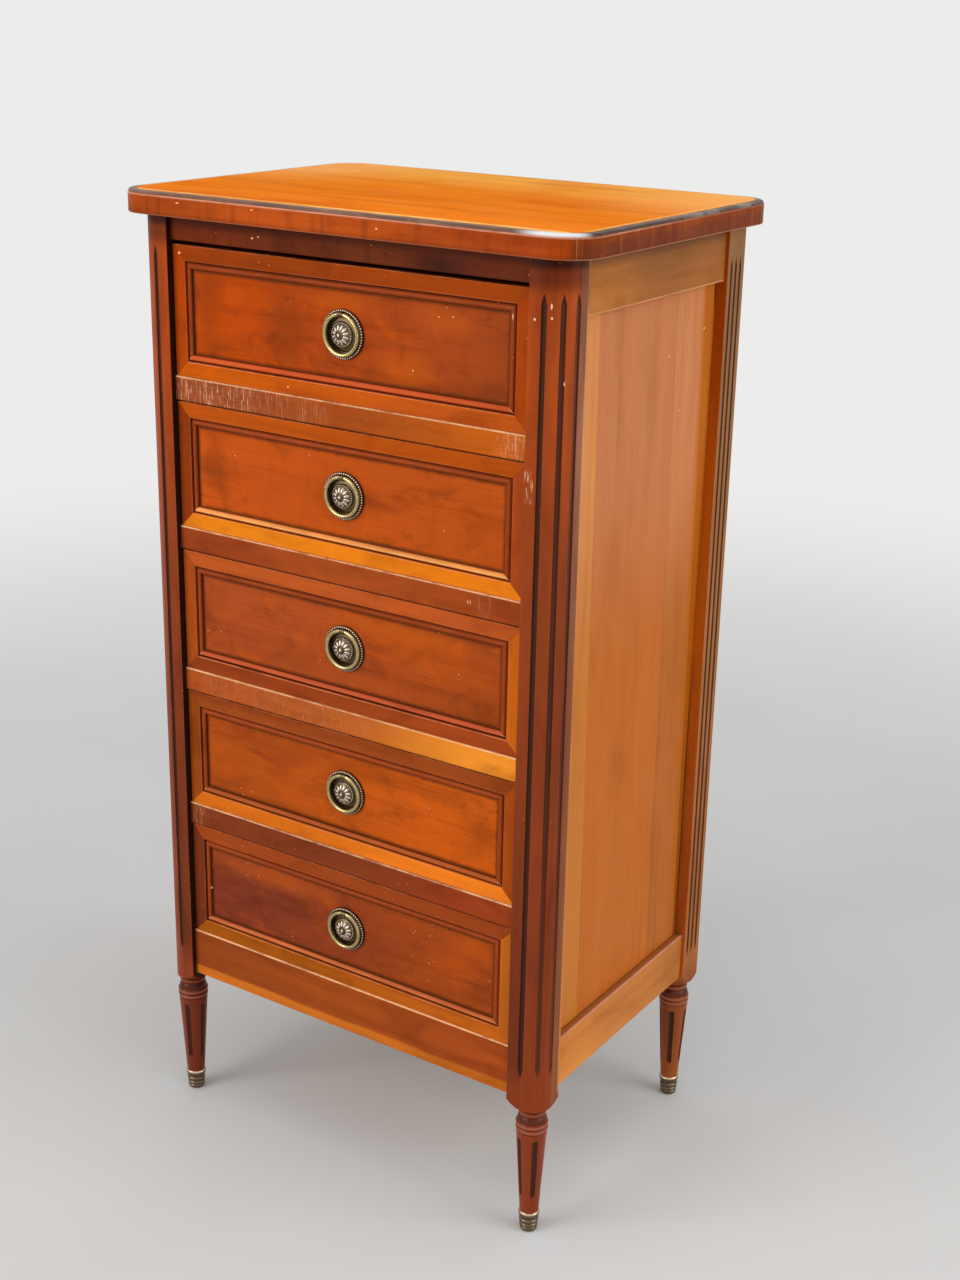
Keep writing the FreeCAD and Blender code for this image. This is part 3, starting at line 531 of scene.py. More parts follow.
def rail_material(name, node, left, centre, right, seed, scratched=(), chips=(), shade=None):
    """A front rail: worn and with a painted highlight along its upper arris, with painted shade at its foot,
    and with its own scratches.

    A scratched stretch is (start, end, strength) and the shade under the slab is (start, end), in mm across.
    """
    low, high = node_low(node).z, node_high(node).z
    s = Shader(name)
    base = graded(s, s.x, ((-0.2, left), (0.0, centre), (0.19, right)))
    tone, fine, cloud = wood_colour(s, "x", base, seed, streaks=0.5, blotches=0.45, blotch=(12, 12, 30))
    # Painted highlight and wear along the upper arris, stronger towards the ends.
    nick = s.noise((38, 38, 38), seed + 2.0, 5, 0.75)
    ends = s.step_mm(s.abs(s.x), 120, 226, 0.0, 0.3)
    rubbed = s.add(s.step(nick, 0.38, 0.58, 0.25, 0.68), ends)
    tone = s.paint(tone, upper_rim(s, high), rubbed, (252, 196, 144))
    hairs = s.noise((620, 620, 46), seed + 5.0, 4, 0.7, 0.6)
    cross = s.noise((60, 60, 800), seed + 6.0, 3, 0.7, 0.6)
    for start, end, strength in scratched:
        region = s.mul(s.between_mm(s.x, start, end, 12), strength)
        marks = s.max(s.step(hairs, 0.535, 0.63), s.mul(s.step(cross, 0.6, 0.68), 0.5))
        tone = s.paint(tone, region, marks, (236, 172, 132))
        haze = s.noise((60, 60, 60), seed + 8.0, 3)
        tone = s.paint(tone, region, s.step(haze, 0.4, 0.7, 0.1, 0.4), (186, 108, 62))
    # Painted shade along the foot, over the gap below.
    foot = s.step(s.z, low + 2.2 * MM, low)
    tone = s.paint(tone, foot, 0.6, (60, 24, 12))
    if shade is not None:
        # Painted shadow just under the top, and a patch of painted shade over the stretch given as shade.
        under_slab = s.step(s.z, high - 15 * MM, high - 5 * MM)
        tone = s.paint(tone, under_slab, 0.65, (54, 18, 4))
        mottle = s.noise((70, 70, 8), seed + 9.0, 3)
        tone = s.paint(tone, s.step(mottle, 0.5, 0.7), 0.4, (70, 28, 12))
        painted_shade_patch = s.mul(s.between_mm(s.x, *shade, 30), s.step(s.z, high - 4 * MM, low + 8 * MM))
        tone = s.paint(tone, painted_shade_patch, 0.75, (44, 20, 12))
    tone = chipped(s, tone, chips)
    return lacquer(s, tone, fine, cloud, colour(222, 144, 92), edge_share=0.5, rough=(0.3, 0.44), seed=seed)


def apron_material():
    """The apron rail, paler along its lower edge."""
    s = Shader("apron_wood")
    base = graded(s, s.x, ((-0.2, (146, 66, 20)), (0.0, (160, 72, 22)), (0.19, (170, 76, 26))))
    rise = s.sub(s.z, node_low("apron_rail").z)
    wave = s.noise((9, 9, 9), 57.5, 2)
    lighter = s.step_mm(s.add(rise, s.mul(wave, 5 * MM)), 17, 13)
    base = s.mix(lighter, base, colour(202, 108, 30))
    tone, fine, cloud = wood_colour(s, "x", base, 57.0, streaks=0.6, blotches=0.4, blotch=(10, 10, 26))
    # Painted highlight and wear along the upper arris.
    nick = s.noise((38, 38, 38), 59.0, 5, 0.75)
    rim = upper_rim(s, node_high("apron_rail").z)
    tone = s.paint(tone, rim, s.step(nick, 0.3, 0.55, 0.4, 0.95), (250, 188, 134))
    return lacquer(s, tone, fine, cloud, colour(226, 140, 80), edge_share=0.6, rough=(0.3, 0.44), seed=57.0)


def side_rail_material(name, stops, seed, edge, dim, ledge=None, **options):
    """A side rail: graded by height, paler in front, with its lower arris lightened by wear and a painted
    highlight, or with a painted highlight along its upper ledge.

    The stretch called dim is (start, end), in mm along the rail; the ledge is the display colour of that
    painted highlight.
    """
    s = Shader(name)
    base = graded(s, s.z, stops)
    base = s.mix(s.step_mm(s.y, -30, -105), base, (1.2, 1.2, 1.16, 1.0), "MULTIPLY")
    base = s.mix(s.between_mm(s.y, *dim, 30), base, (0.87, 0.87, 0.87, 1.0), "MULTIPLY")
    tone, fine, cloud = wood_colour(s, "y", base, seed, streaks=0.6, blotches=0.4, blotch=(14, 9, 24),
                                    dark=(210, 188, 162), light=(1.12, 1.16, 1.3))
    worn = s.noise((22, 22, 22), seed + 1.0, 3, 0.6)
    if ledge is None:
        low = node_low("side_top_rail_right").z
        # Lower arris lightened by wear and a painted highlight.
        line = s.mul(s.step(s.z, low + 2.2 * MM, low + 0.8 * MM), s.step(worn, 0.3, 0.6, 0.35, 0.8))
        tone = s.mix(line, tone, colour(214, 152, 98))
    else:
        high = node_high("side_bottom_rail_right").z
        upper = s.step(s.z, high - 1.2 * MM, high - 0.5 * MM)
        tone = s.paint(tone, upper, 0.8, (146, 84, 40))
        # Painted highlight along the outer edge of the ledge, broken by noise.
        outer = s.step_mm(s.abs(s.x), 264.5, 266.5)
        tone = s.mix(s.mul(upper, outer, s.step(worn, 0.3, 0.6, 0.5, 0.95)), tone, colour(*ledge))
    return lacquer(s, tone, fine, cloud, colour(*edge), seed=seed, rough=(0.36, 0.48), specular=0.06,
                   **options)


def side_panel_material():
    """Four upright boards whose joints lean a little, each paler towards its top, partly as a painted sheen,
    with painted shade beside the rear post, under the top rail and over the bottom rail's ledge.
    """
    s = Shader("side_panel")
    sight_low = -154 * MM
    sight = 294 * MM
    lean = 0.015
    tones = ((195, 117, 44), (190, 102, 34), (180, 100, 36), (172, 88, 14))
    base = colour(*tones[0])
    place = s.add(s.y, s.mul(s.sub(s.z, 0.56), lean))

    def past(low, high):
        """Mask of what lies behind a share of the panel's sight width."""
        return s.step(place, sight_low + low * sight, sight_low + high * sight)

    joints = 0.0
    for share, tint in zip((0.18, 0.73, 0.955), tones[1:]):
        seam = sight_low + share * sight
        base = s.mix(s.step(place, seam - 0.4 * MM, seam + 0.4 * MM), base, colour(*tint))
        line = s.between(place, seam - 0.25 * MM, seam + 0.25 * MM, 0.3 * MM)
        joints = s.max(line, joints)
    # Paler tones towards the top of each board, partly a painted sheen.
    high_tone = s.mix(past(0.17, 0.19), colour(216, 142, 82), colour(192, 122, 80))
    high_tone = s.mix(past(0.725, 0.735), high_tone, colour(206, 134, 88))
    high_tone = s.mix(past(0.90, 0.96), high_tone, colour(190, 106, 34))
    base = s.mix(s.step(s.z, 0.62, 0.9, 0.0, 0.75), base, high_tone)
    base = s.paint(base, s.mul(past(0.95, 0.96), s.step(s.z, 0.62, 0.36)), 0.6, (134, 66, 12))
    base = s.paint(base, joints, 0.6, (98, 50, 18))
    tone, fine, cloud = wood_colour(s, "z", base, 33.0, streaks=0.5, blotches=0.35, fibre=0.35,
                                    blotch=(12, 12, 4.5), dark=(214, 196, 176), light=(1.12, 1.16, 1.3))
    # Painted shade beside the rear post, under the top rail and over the bottom rail's ledge.
    behind = s.mul(s.step_mm(s.y, 136.5, 139), s.max(s.step(s.z, 0.62, 0.5), s.step(s.z, 1.0, 1.02)))
    rail_low = node_low("side_top_rail_right").z
    under_rail = s.step(s.z, rail_low - 3.5 * MM, rail_low - 0.5 * MM)
    ledge_high = node_high("side_bottom_rail_right").z
    over_ledge = s.step(s.z, ledge_high + 2.2 * MM, ledge_high + 0.6 * MM)
    dark = s.max(s.mul(behind, 0.85), s.max(s.mul(under_rail, 0.6), s.mul(over_ledge, 0.7)))
    tone = s.mix(dark, tone, colour(66, 32, 14))
    tone = chipped(s, tone, ((40, 968, 1.3, 1.6), (118, 987, 1.6, 1.4), (70, 905, 1.0, 1.2)), "y",
                   (240, 186, 134))
    return lacquer(s, tone, fine, cloud, colour(232, 178, 120), edge_share=0.4, rough=(0.36, 0.48),
                   seed=9.0, specks=0.3, specular=0.06)


# Drawer fronts

def clouded(s, tone, level, places):
    """Soft clouds at (place across, rise, half width, half height, share) in mm; a share below 0 darkens."""
    wisp = s.noise((28, 28, 44), 2.0 + level, 3, 0.6, 0.5)
    for across, rise, half_width, half_height, share in places:
        reach = oval_reach(s, s.x, across * MM, level + rise * MM, half_width, half_height)
        spot = s.step(s.add(reach, s.mul(wisp, 0.9)), 1.75, 0.65)
        tone = s.paint(tone, spot, abs(share), (212, 96, 14) if share > 0 else (96, 40, 12))
    return tone


def drawer_panel_material(number, left, right, seed, clouds=(), chips=()):
    """Panel of a drawer front: figured along its width, clouded, and with painted shade beside the moulding.
    """
    s = Shader("drawer_panel_%d" % number)
    base = graded(s, s.x, ((-0.16, left), (0.16, right)))
    tone, fine, cloud = wood_colour(s, "x", base, seed, streaks=0.45, blotches=0.5, fibre=0.5,
                                    blotch=(12, 19, 28), light=(1.3, 1.2, 0.9))
    figure = s.noise((22, 30, 26), seed + 15.0, 4, 0.62, 1.0)
    tone = s.mix(s.mul(s.step(figure, 0.52, 0.74), 0.45), tone, colour(*tinted(right, 0.66)))
    ripple = s.noise((130, 130, 17), seed + 16.0, 2, 0.5, 0.5)
    tone = s.mix(s.mul(s.step(ripple, 0.48, 0.7), 0.12), tone, colour(*tinted(right, 0.78)))
    glow = s.noise((12, 26, 22), seed + 17.0, 3, 0.6, 0.8)
    tone = s.paint(tone, s.step(glow, 0.53, 0.72), 0.3, (212, 88, 6))
    tone = clouded(s, tone, front_centre[number], clouds)
    frame = bead_start + bead_width
    across = s.sub(front_half_width - frame, s.abs(s.x))
    half = (front_high[number] - front_low[number]) / 2 - frame
    upward = s.sub(half, s.abs(s.sub(s.z, front_centre[number])))
    inner = s.min(across, upward)
    # Painted shade beside the moulding, with a ragged edge.
    ragged = s.noise((90, 90, 90), seed + 19.0, 3)
    shade_beside_moulding = s.sub(inner, s.mul(s.sub(ragged, 0.5), 3 * MM))
    tone = s.mix(s.step_mm(shade_beside_moulding, 5.0, 0.2, 0.0, 0.8), tone, colour(86, 42, 12))
    tone = chipped(s, tone, chips)
    return lacquer(s, tone, fine, cloud, colour(236, 156, 96), rough=(0.26, 0.4), seed=seed, specks=0.7,
                   specular=0.04)


def moulding_material(number, top, bottom, bottom_right, left, right, lit_bead_tone, seed, chips=()):
    """Mitred moulding: each strip has its own board and the bead is redder; the lower bead has a lit tone,
    the quirk and the bead's inner side carry painted shade, and the bead's crest, the band's lip and the bead
    at the lower mitres carry painted highlights.
    """
    s = Shader("drawer_moulding_%d" % number)
    half = (front_high[number] - front_low[number]) / 2
    rise = s.sub(s.z, front_centre[number])
    across = s.sub(front_half_width, s.abs(s.x))
    upward = s.sub(half, s.abs(rise))
    upright = s.step_mm(s.sub(upward, across), -0.15, 0.15)
    depth = s.min(across, upward)
    lower = s.step_mm(rise, 1, -1)
    foot = graded(s, s.x, ((-0.14, bottom), (0.14, bottom_right)))
    flat = s.mix(lower, colour(*top), foot)
    tall = s.mix(s.step_mm(s.x, -1, 1), colour(*left), colour(*right))
    base = s.mix(upright, flat, tall)
    # The upper and side beads keep a shaded tone and the lower bead a lit one: painted light.
    bead = s.step(depth, bead_start - 0.2 * MM, bead_start + 0.3 * MM)
    level_low = s.mul(lower, s.sub(1.0, upright))
    base = s.mix(bead, base, s.mix(level_low, colour(146, 60, 20), colour(*lit_bead_tone)))
    level, fine_x, cloud = wood_colour(s, "x", base, seed, streaks=0.5, blotches=0.4, blotch=(13, 13, 26))
    plumb, fine_z, _ = wood_colour(s, "z", base, seed + 2, streaks=0.5, blotches=0.4, blotch=(26, 26, 13))
    tone = s.mix(upright, level, plumb)
    fine = s.add(s.mul(fine_x, s.sub(1.0, upright)), s.mul(fine_z, upright))
    rubbed = s.noise((30, 30, 30), seed + 3.0, 4, 0.7)
    # Painted highlight along the bead's crest, stronger on the lower bead.
    crest = s.between(depth, bead_start + 1.4 * MM, bead_start + 3.4 * MM, 0.8 * MM)
    bead_crest = colour(*(min(255, part * lift) for part, lift in zip(lit_bead_tone, (1.12, 1.34, 1.6))))
    shine = s.mul(crest, s.step(rubbed, 0.35, 0.6, 0.35, 1.0), s.add(0.2, s.mul(level_low, 0.5)))
    tone = s.mix(shine, tone, s.mix(level_low, colour(202, 104, 58), bead_crest))
    # Painted shade in the quirk.
    quirk = s.between(depth, band_width + 0.1 * MM, bead_start - 0.1 * MM, 0.25 * MM)
    hollow = s.step(s.y, frame_face + 0.35 * MM, frame_face + 0.9 * MM)
    tone = s.paint(tone, s.mul(quirk, hollow), 0.95, (60, 20, 8))
    # Painted highlight along the band's lip beside the quirk.
    lip = s.between(depth, band_width - 0.9 * MM, band_width - 0.1 * MM, 0.25 * MM)
    lip_share = s.mul(s.step(rubbed, 0.35, 0.65, 0.15, 0.6), s.add(0.6, s.mul(level_low, 0.8)))
    tone = s.paint(tone, lip, lip_share, (232, 138, 88))
    # Painted shade on the bead's inner side, towards the panel.
    inside = s.step(depth, bead_start + bead_width - 1.4 * MM, bead_start + bead_width - 0.2 * MM)
    tone = s.paint(tone, inside, 0.8, (60, 26, 10))
    mitre = s.step_mm(s.abs(s.sub(upward, across)), 0.45, 0.15)
    tone = s.paint(tone, mitre, 0.5, (80, 32, 12))
    # Painted highlight on the bead at the lower mitres.
    bead_crown = s.mul(bead, s.step(depth, bead_start + 5 * MM, bead_start + 3 * MM))
    corner = s.mul(mitre, lower, bead_crown)
    tone = s.paint(tone, corner, 0.9, (255, 214, 170))
    outer = s.step_mm(depth, 1.2, 0.2)
    tone = s.paint(tone, outer, s.step(rubbed, 0.4, 0.65, 0.1, 0.6), (214, 126, 76))
    tone = chipped(s, tone, chips)
    return lacquer(s, tone, fine, cloud, colour(234, 146, 92), edge_share=0.3, edge_radius=0.5,
                   rough=(0.27, 0.4), seed=seed + 1.0, specular=0.04)


# Legs and metal

shaft_low = 26 * MM
shaft_high = 133.5 * MM
shaft_low_radius = 10.9 * MM
shaft_high_radius = 17.6 * MM
shaft_slope = (shaft_high_radius - shaft_low_radius) / (shaft_high - shaft_low)


def leg_material(name, base):
    """Turned leg, painted darker on its shadow side: flutes painted dark with soft rims and darker deeper in,
    painted shade in the neck, under the post and between the rings, and painted highlights on the ring crests
    and the collar.
    """
    low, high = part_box(name)
    centre = (low + high) / 2
    s = Shader(name + "_wood")
    dx = s.sub(s.x, centre.x)
    dy = s.sub(s.y, centre.y)
    shadow = s.step_mm(s.sub(s.mul(dx, 0.84), s.mul(dy, 0.3)), -8, -15)
    grade = s.mix(s.mul(shadow, 0.75), colour(*base), colour(*tinted(base, 0.42)))
    tone, fine, cloud = wood_colour(s, "z", grade, 40.0, streaks=0.5, blotches=0.35, blotch=(30, 30, 12))
    radial = s.length(dx, dy)
    surface = s.add(s.mul(s.sub(s.z, shaft_low), shaft_slope), shaft_low_radius)
    below = s.sub(surface, radial)
    on_shaft = s.step(s.z, shaft_high - 0.5 * MM, shaft_high - 2 * MM)
    # Flutes painted dark, darker deeper in as painted shade.
    tone = s.paint(tone, s.mul(s.step_mm(below, 0.1, 0.6), on_shaft), 0.85, (84, 38, 22))
    tone = s.paint(tone, s.mul(s.step_mm(below, 0.9, 1.9), on_shaft), 0.75, (60, 30, 20))
    rubbed = s.noise((40, 40, 40), 4.0, 3, 0.6)
    # Painted shade in the neck under the post, varied by noise.
    cushion = s.between_mm(s.z, 146.3, 155.2, 0.5)
    tone = s.paint(tone, cushion, s.step(rubbed, 0.3, 0.6, 0.9, 0.65), (58, 26, 18))
    # Painted shade in the grooves between the rings.
    hollow = s.step_mm(radial, 17.5, 16.9)
    rings = s.between_mm(s.z, 133.4, 146.2, 0.3)
    tone = s.paint(tone, s.mul(rings, hollow), 0.9, (50, 20, 16))
    # Painted highlights on the ring crests and the collar.
    crest = s.mul(rings, s.step_mm(radial, 17.9, 18.3))
    tone = s.paint(tone, crest, s.step(rubbed, 0.3, 0.6, 0.3, 0.6), (180, 108, 84))
    collar = s.mul(s.between_mm(s.z, 155.6, 159.6, 0.4), s.step_mm(radial, 15.0, 15.7))
    tone = s.paint(tone, collar, 0.35, (160, 90, 60))
    # Painted shade under the post's bottom.
    under = s.step_mm(s.z, 159.6, 160.2)
    tone = s.paint(tone, under, 0.85, (50, 20, 12))
    return lacquer(s, tone, fine, cloud, colour(206, 124, 74), edge_share=0.35, edge_radius=0.5,
                   rough=(0.22, 0.34), coat=0.03, nicks=(50, 50, 30), seed=8.0, specular=0.14)


def brass_material(name, bright, deep, cavity=None, rough=(0.24, 0.42), brush=0.6):
    """Antique brass: patina in clouds, dull in the hollows, and bright on its edges, where hands polish it
    and a highlight is painted.
    """
    s = Shader(name)
    patina = s.noise((260, 260, 260), 3.0, 4, 0.6)
    grime = s.noise((900, 900, 900), 5.0, 3, 0.6)
    tone = s.mix(s.mul(s.step(patina, 0.35, 0.7), brush / 0.6), colour(*bright), colour(*deep))
    if cavity is not None:
        tone = s.mix(cavity(s), tone, colour(84, 66, 48))
    normal, edges = s.arris(0.35 * MM)
    # Edges painted bright: polish from hands and a painted highlight.
    tone = s.paint(tone, edges, 0.6, (236, 214, 158))
    gloss = s.step(s.add(s.mul(patina, 0.7), s.mul(grime, 0.3)), 0.35, 0.65, rough[0], rough[1])
    return s.finish(tone, gloss, s.bump(grime, 0.03 * MM, normal, 0.3), metallic=1.0)


def plate_cavity(s):
    """Dark field of the plate, by distance from its centre."""
    level = s.math("MODULO", s.sub(s.z, front_low[5]), pitch)
    rise = s.sub(level, front_centre[5] - front_low[5])
    radial = s.length(s.x, rise)
    outer = s.step_mm(radial, 18, 21, 0.9, 0.55)
    field = s.mul(s.step_mm(radial, 13.2, 13.8), s.max(outer, s.step_mm(radial, 23.2, 23.8)))
    hollow = s.between_mm(radial, 2.6, 4.6, 0.3)
    dome = s.between_mm(radial, 4.4, 13.4, 0.3)
    return s.min(s.add(s.add(field, s.mul(hollow, 0.9)), s.mul(dome, 0.6)), 1.0)


def relief_cavity(s):
    """The rosette is duller than the beaded rim; both are placed from the plate's centre."""
    radial = s.length(s.x, s.z)
    return s.step_mm(radial, 16, 20, 0.36, 0.0)


def ferrule_cavity(s):
    """The ferrule is dull under its lip, whose brightness is a painted highlight, and darkest in the grooves
    between its rings.
    """
    grooves = [s.between_mm(s.z, low, high, 0.5) for low, high in ((4.6, 6.4), (10.2, 11.8), (16.6, 18.4))]
    dull = s.step_mm(s.z, 24.6, 23.2, 0.0, 0.86)
    return s.max(dull, s.mul(s.max(*grooves), 0.92))


def steel_material():
    s = Shader("steel_screw")
    marks = s.noise((600, 600, 600), 1.0, 3)
    tone = s.mix(s.step(marks, 0.4, 0.7), colour(168, 168, 166), colour(120, 118, 112))
    return s.finish(tone, s.step(marks, 0.3, 0.7, 0.3, 0.5), metallic=1.0)


# Materials on the CAD nodes

dress("top_board", top_material())
dress("top_edge_moulding", slab_edge_material())
dress("top_black_fillet", black_material())
dress_pair("front_post", front_post_material())
dress_pair("rear_post", rear_post_material())

# The frieze's dark tones are partly painted shade from the top's overhang.
dress("frieze_rail", rail_material("frieze_wood", "frieze_rail", (112, 42, 8), (108, 46, 14), (104, 42, 16),
                                   50.0, chips=((-115.5, 1079.5, 1.9, 0.9), (-107.4, 1081.6, 1.2, 0.8)),
                                   shade=(95, 145)))
rail_tones = {
    1: ((144, 66, 30), (160, 72, 22), (193, 92, 16)),
    2: ((150, 62, 22), (162, 72, 26), (162, 70, 24)),
    3: ((168, 78, 30), (176, 88, 34), (238, 143, 42)),
    4: ((132, 56, 24), (130, 56, 26), (152, 60, 22)),
}
rail_scratches = {
    1: ((-228, -118, 0.85), (-118, -20, 0.3), (196, 229, 0.8)),
    2: ((176, 190, 0.4),),
    3: ((-200, 40, 0.14),),
    4: ((-228, -205, 0.4),),
}
rail_chips = {2: ((161.5, 737.5, 0.5, 2.2), (164.5, 737.5, 0.5, 2.2))}
for number, tones in rail_tones.items():
    name = "drawer_rail_%d" % number
    material = rail_material("rail_wood_%d" % number, name, *tones, 50.0 + number, rail_scratches[number],
                             rail_chips.get(number, ()))
    dress(name, material)
dress("apron_rail", apron_material())

# The top rail darkens towards its top: painted shadow under the top.
top_rail_stops = ((1.05, (166, 101, 44)), (1.075, (150, 92, 40)), (1.092, (112, 68, 32)))
dress_pair("side_top_rail", side_rail_material("side_top_rail_wood", top_rail_stops, 60.0, (226, 166, 108),
                                               (-45, 60), edge_share=0.4))
low_rail_stops = ((0.19, (200, 124, 56)), (0.23, (196, 120, 52)))
# The last colour is the bottom rail's painted ledge highlight.
dress_pair("side_bottom_rail", side_rail_material("side_low_rail_wood", low_rail_stops, 64.0, (246, 178, 130),
                                                  (85, 180), (214, 156, 130), edge_share=0.6))
dress_pair("side_panel", side_panel_material())

panel_tones = {
    1: ((182, 70, 4), (160, 68, 24)),
    2: ((190, 80, 20), (187, 81, 21)),
    3: ((172, 76, 32), (168, 73, 24)),
    4: ((174, 77, 20), (204, 91, 18)),
    5: ((130, 55, 32), (158, 68, 22)),
}
# Clouds on each drawer panel; the dark ones near a panel's left and right ends are painted shade.
panel_clouds = {
    1: ((-75, -8, 34, 40, -0.45), (-178, 30, 24, 18, -0.3), (-178, -34, 24, 18, -0.3), (80, -30, 42, 20, 0.4),
        (122, 30, 42, 20, 0.35), (182, -38, 24, 18, -0.3), (-184, -2, 20, 22, -0.25), (0, 34, 50, 13, 0.3)),
    2: ((-182, 0, 22, 26, -0.45), (0, -4, 52, 22, -0.3), (-182, 34, 24, 14, -0.12)),
    3: ((70, 32, 95, 16, 0.5), (-100, -34, 95, 14, -0.2), (180, -34, 26, 16, -0.2), (125, 4, 80, 20, 0.2)),
    4: ((60, 32, 165, 16, -0.3), (180, 0, 24, 28, -0.3), (-100, 30, 52, 18, -0.15),
        (-182, -34, 26, 16, -0.25)),
    5: ((-120, 33, 105, 15, 0.36), (-178, -32, 34, 16, -0.25), (175, 32, 34, 16, 0.35),
        (182, -26, 22, 18, -0.2), (130, -8, 40, 24, 0.12)),
}
panel_chips = {
    1: ((87, 966, 1.0, 1.0), (118, 1023.5, 0.8, 0.8), (135, 1025.5, 0.8, 0.9)),
    2: ((-150, 842, 0.7, 0.7), (128, 806, 0.6, 0.8)),
}
# Columns: top, bottom, bottom right, left, right, and the lit tone of the lower bead (painted light).
moulding_tones = {
    1: ((158, 64, 4), (194, 86, 6), (194, 86, 20), (174, 66, 2), (172, 68, 6), (198, 80, 34)),
    2: ((180, 78, 10), (232, 130, 20), (232, 124, 18), (142, 57, 12), (165, 69, 26), (250, 152, 78)),
    3: ((184, 83, 32), (144, 59, 20), (156, 66, 24), (160, 71, 20), (196, 96, 18), (192, 82, 42)),
    4: ((154, 70, 24), (210, 105, 16), (234, 122, 28), (150, 69, 16), (164, 71, 14), (170, 80, 34)),
    5: ((156, 67, 24), (162, 83, 10), (196, 98, 22), (114, 48, 22), (184, 95, 24), (206, 104, 54)),
}
moulding_chips = {
    1: ((-218.5, 1055, 1.7, 1.6), (-71.5, 929, 1.6, 0.8), (206.5, 1034, 0.7, 3.4)),
    5: ((-203, 300, 0.9, 1.6),),
}
for number in drawer_numbers:
    panel = drawer_panel_material(number, *panel_tones[number], 70.0 + 4 * number, panel_clouds[number],
                                  panel_chips.get(number, ()))
    dress("drawer_%d_front" % number, panel)
    moulding = moulding_material(number, *moulding_tones[number], 95.0 + 5 * number,
                                 moulding_chips.get(number, ()))
    dress("drawer_%d_moulding" % number, moulding)

oak = plain_board("inner_oak", "x", (196, 160, 112), 130.0, 0.3, 0.2)
oak_deep = plain_board("inner_oak_lengthways", "y", (190, 152, 104), 133.0, 0.3, 0.2)
for number in drawer_numbers:
    dress("drawer_%d_box" % number, oak_deep)
    dress("drawer_%d_bottom" % number, oak)
for name in ("drawer_runners", "top_bearers"):
    dress(name, oak_deep)
dress("drawer_stops", oak)
dress("back_panel", plain_board("back_wood", "z", (150, 104, 66), 140.0, 0.5, 0.3))
dress("back_rails", plain_board("back_rail_wood", "x", (142, 92, 52), 143.0, 0.4, 0.3))
dress("top_screws", steel_material())

leg_tones = {
    "front_leg_left": (116, 46, 20), "front_leg_right": (138, 56, 22), "rear_leg_left": (112, 46, 22),
    "rear_leg_right": (152, 76, 30),
}
for name, tone in leg_tones.items():
    dress(name, leg_material(name, tone))
ferrule_brass = brass_material("ferrule_brass", (216, 190, 162), (172, 146, 116), ferrule_cavity, brush=0.25)
dress("leg_ferrules", ferrule_brass)
plate_brass = brass_material("plate_brass", (140, 122, 84), (92, 76, 50), plate_cavity)
ring_brass = brass_material("ring_brass", (188, 170, 120), (132, 114, 72), None, (0.18, 0.28), 0.3)
relief_brass = brass_material("relief_brass", (246, 228, 212), (214, 192, 172), relief_cavity, (0.26, 0.38))
for number in drawer_numbers:
    dress("drawer_%d_pull_plate" % number, plate_brass)
    dress("drawer_%d_pull_ring" % number, ring_brass)


# Cast relief of the pull plates: a beaded rim, a rosette of petals and a dotted ring

rim_radius = 24.6 * MM
rim_height = 2.2 * MM
bead_count = 54
bead_size = (1.3 * MM, 1.25 * MM, 1.3 * MM)
dome_ball_radius = 19.33 * MM
dome_ball_sunk = 11.03 * MM
petal_count = 12
petal_inner = 5 * MM
petal_middle = 8 * MM
petal_outer = 10.6 * MM
petal_size = (3.7 * MM, 1.7 * MM, 1.1 * MM)
dot_count = 30
dot_circle = 12.3 * MM
dot_size = (0.85 * MM, 0.85 * MM, 0.7 * MM)
dot_tilt = 0.5
boss_height = 9.4 * MM
boss_size = (1.7 * MM, 1.7 * MM, 0.9 * MM)
proud_of_dome = 0.05 * MM


def dome_height(radius):
    """Height of the plate's domed rosette over the drawer front."""
    return math.sqrt(dome_ball_radius ** 2 - radius ** 2) - dome_ball_sunk


def polar(radius, angle, height):
    """A place on the plate, from its centre."""
    return Vector((radius * math.cos(angle), -height, radius * math.sin(angle)))


def facing(angle, tilt):
    """Axes of a lump on the plate: outwards, along the rim and away from the drawer."""
    out = Vector((math.cos(angle), 0, math.sin(angle)))
    side = Vector((-math.sin(angle), 0, math.cos(angle)))
    up = Vector((0, -1, 0))
    leaned_out = out * math.cos(tilt) - up * math.sin(tilt)
    leaned_up = up * math.cos(tilt) + out * math.sin(tilt)
    return leaned_out, side, leaned_up


def add_lump(mesh, centre, axes, sizes, rings=6, segments=8):
    """Add one rounded lump with its own axes and half sizes."""
    matrix = Matrix.Identity(4)
    for column, (axis, size) in enumerate(zip(axes, sizes)):
        for row in range(3):
            matrix[row][column] = axis[row] * size
    for row in range(3):
        matrix[row][3] = centre[row]
    bmesh.ops.create_uvsphere(mesh, u_segments=segments, v_segments=rings, radius=1.0, matrix=matrix)


def relief_mesh():
    mesh = bmesh.new()
    for i in range(bead_count):
        angle = 2 * math.pi * i / bead_count
        add_lump(mesh, polar(rim_radius, angle, rim_height), facing(angle, 0.0), bead_size)
    slope = math.atan2(dome_height(petal_inner) - dome_height(petal_outer), petal_outer - petal_inner)
    for i in range(petal_count):
        angle = 2 * math.pi * (i + 0.5) / petal_count
        centre = polar(petal_middle, angle, dome_height(petal_middle) + proud_of_dome)
        add_lump(mesh, centre, facing(angle, slope), petal_size, 8, 10)
    for i in range(dot_count):
        angle = 2 * math.pi * i / dot_count
        centre = polar(dot_circle, angle, dome_height(dot_circle) + proud_of_dome)
        add_lump(mesh, centre, facing(angle, dot_tilt), dot_size, 5, 7)
    add_lump(mesh, polar(0, 0, boss_height), facing(0.0, 0.0), boss_size, 8, 12)
    data = bpy.data.meshes.new("pull_relief")
    mesh.to_mesh(data)
    mesh.free()
    for polygon in data.polygons:
        polygon.use_smooth = True
    data.materials.append(relief_brass)
    return data


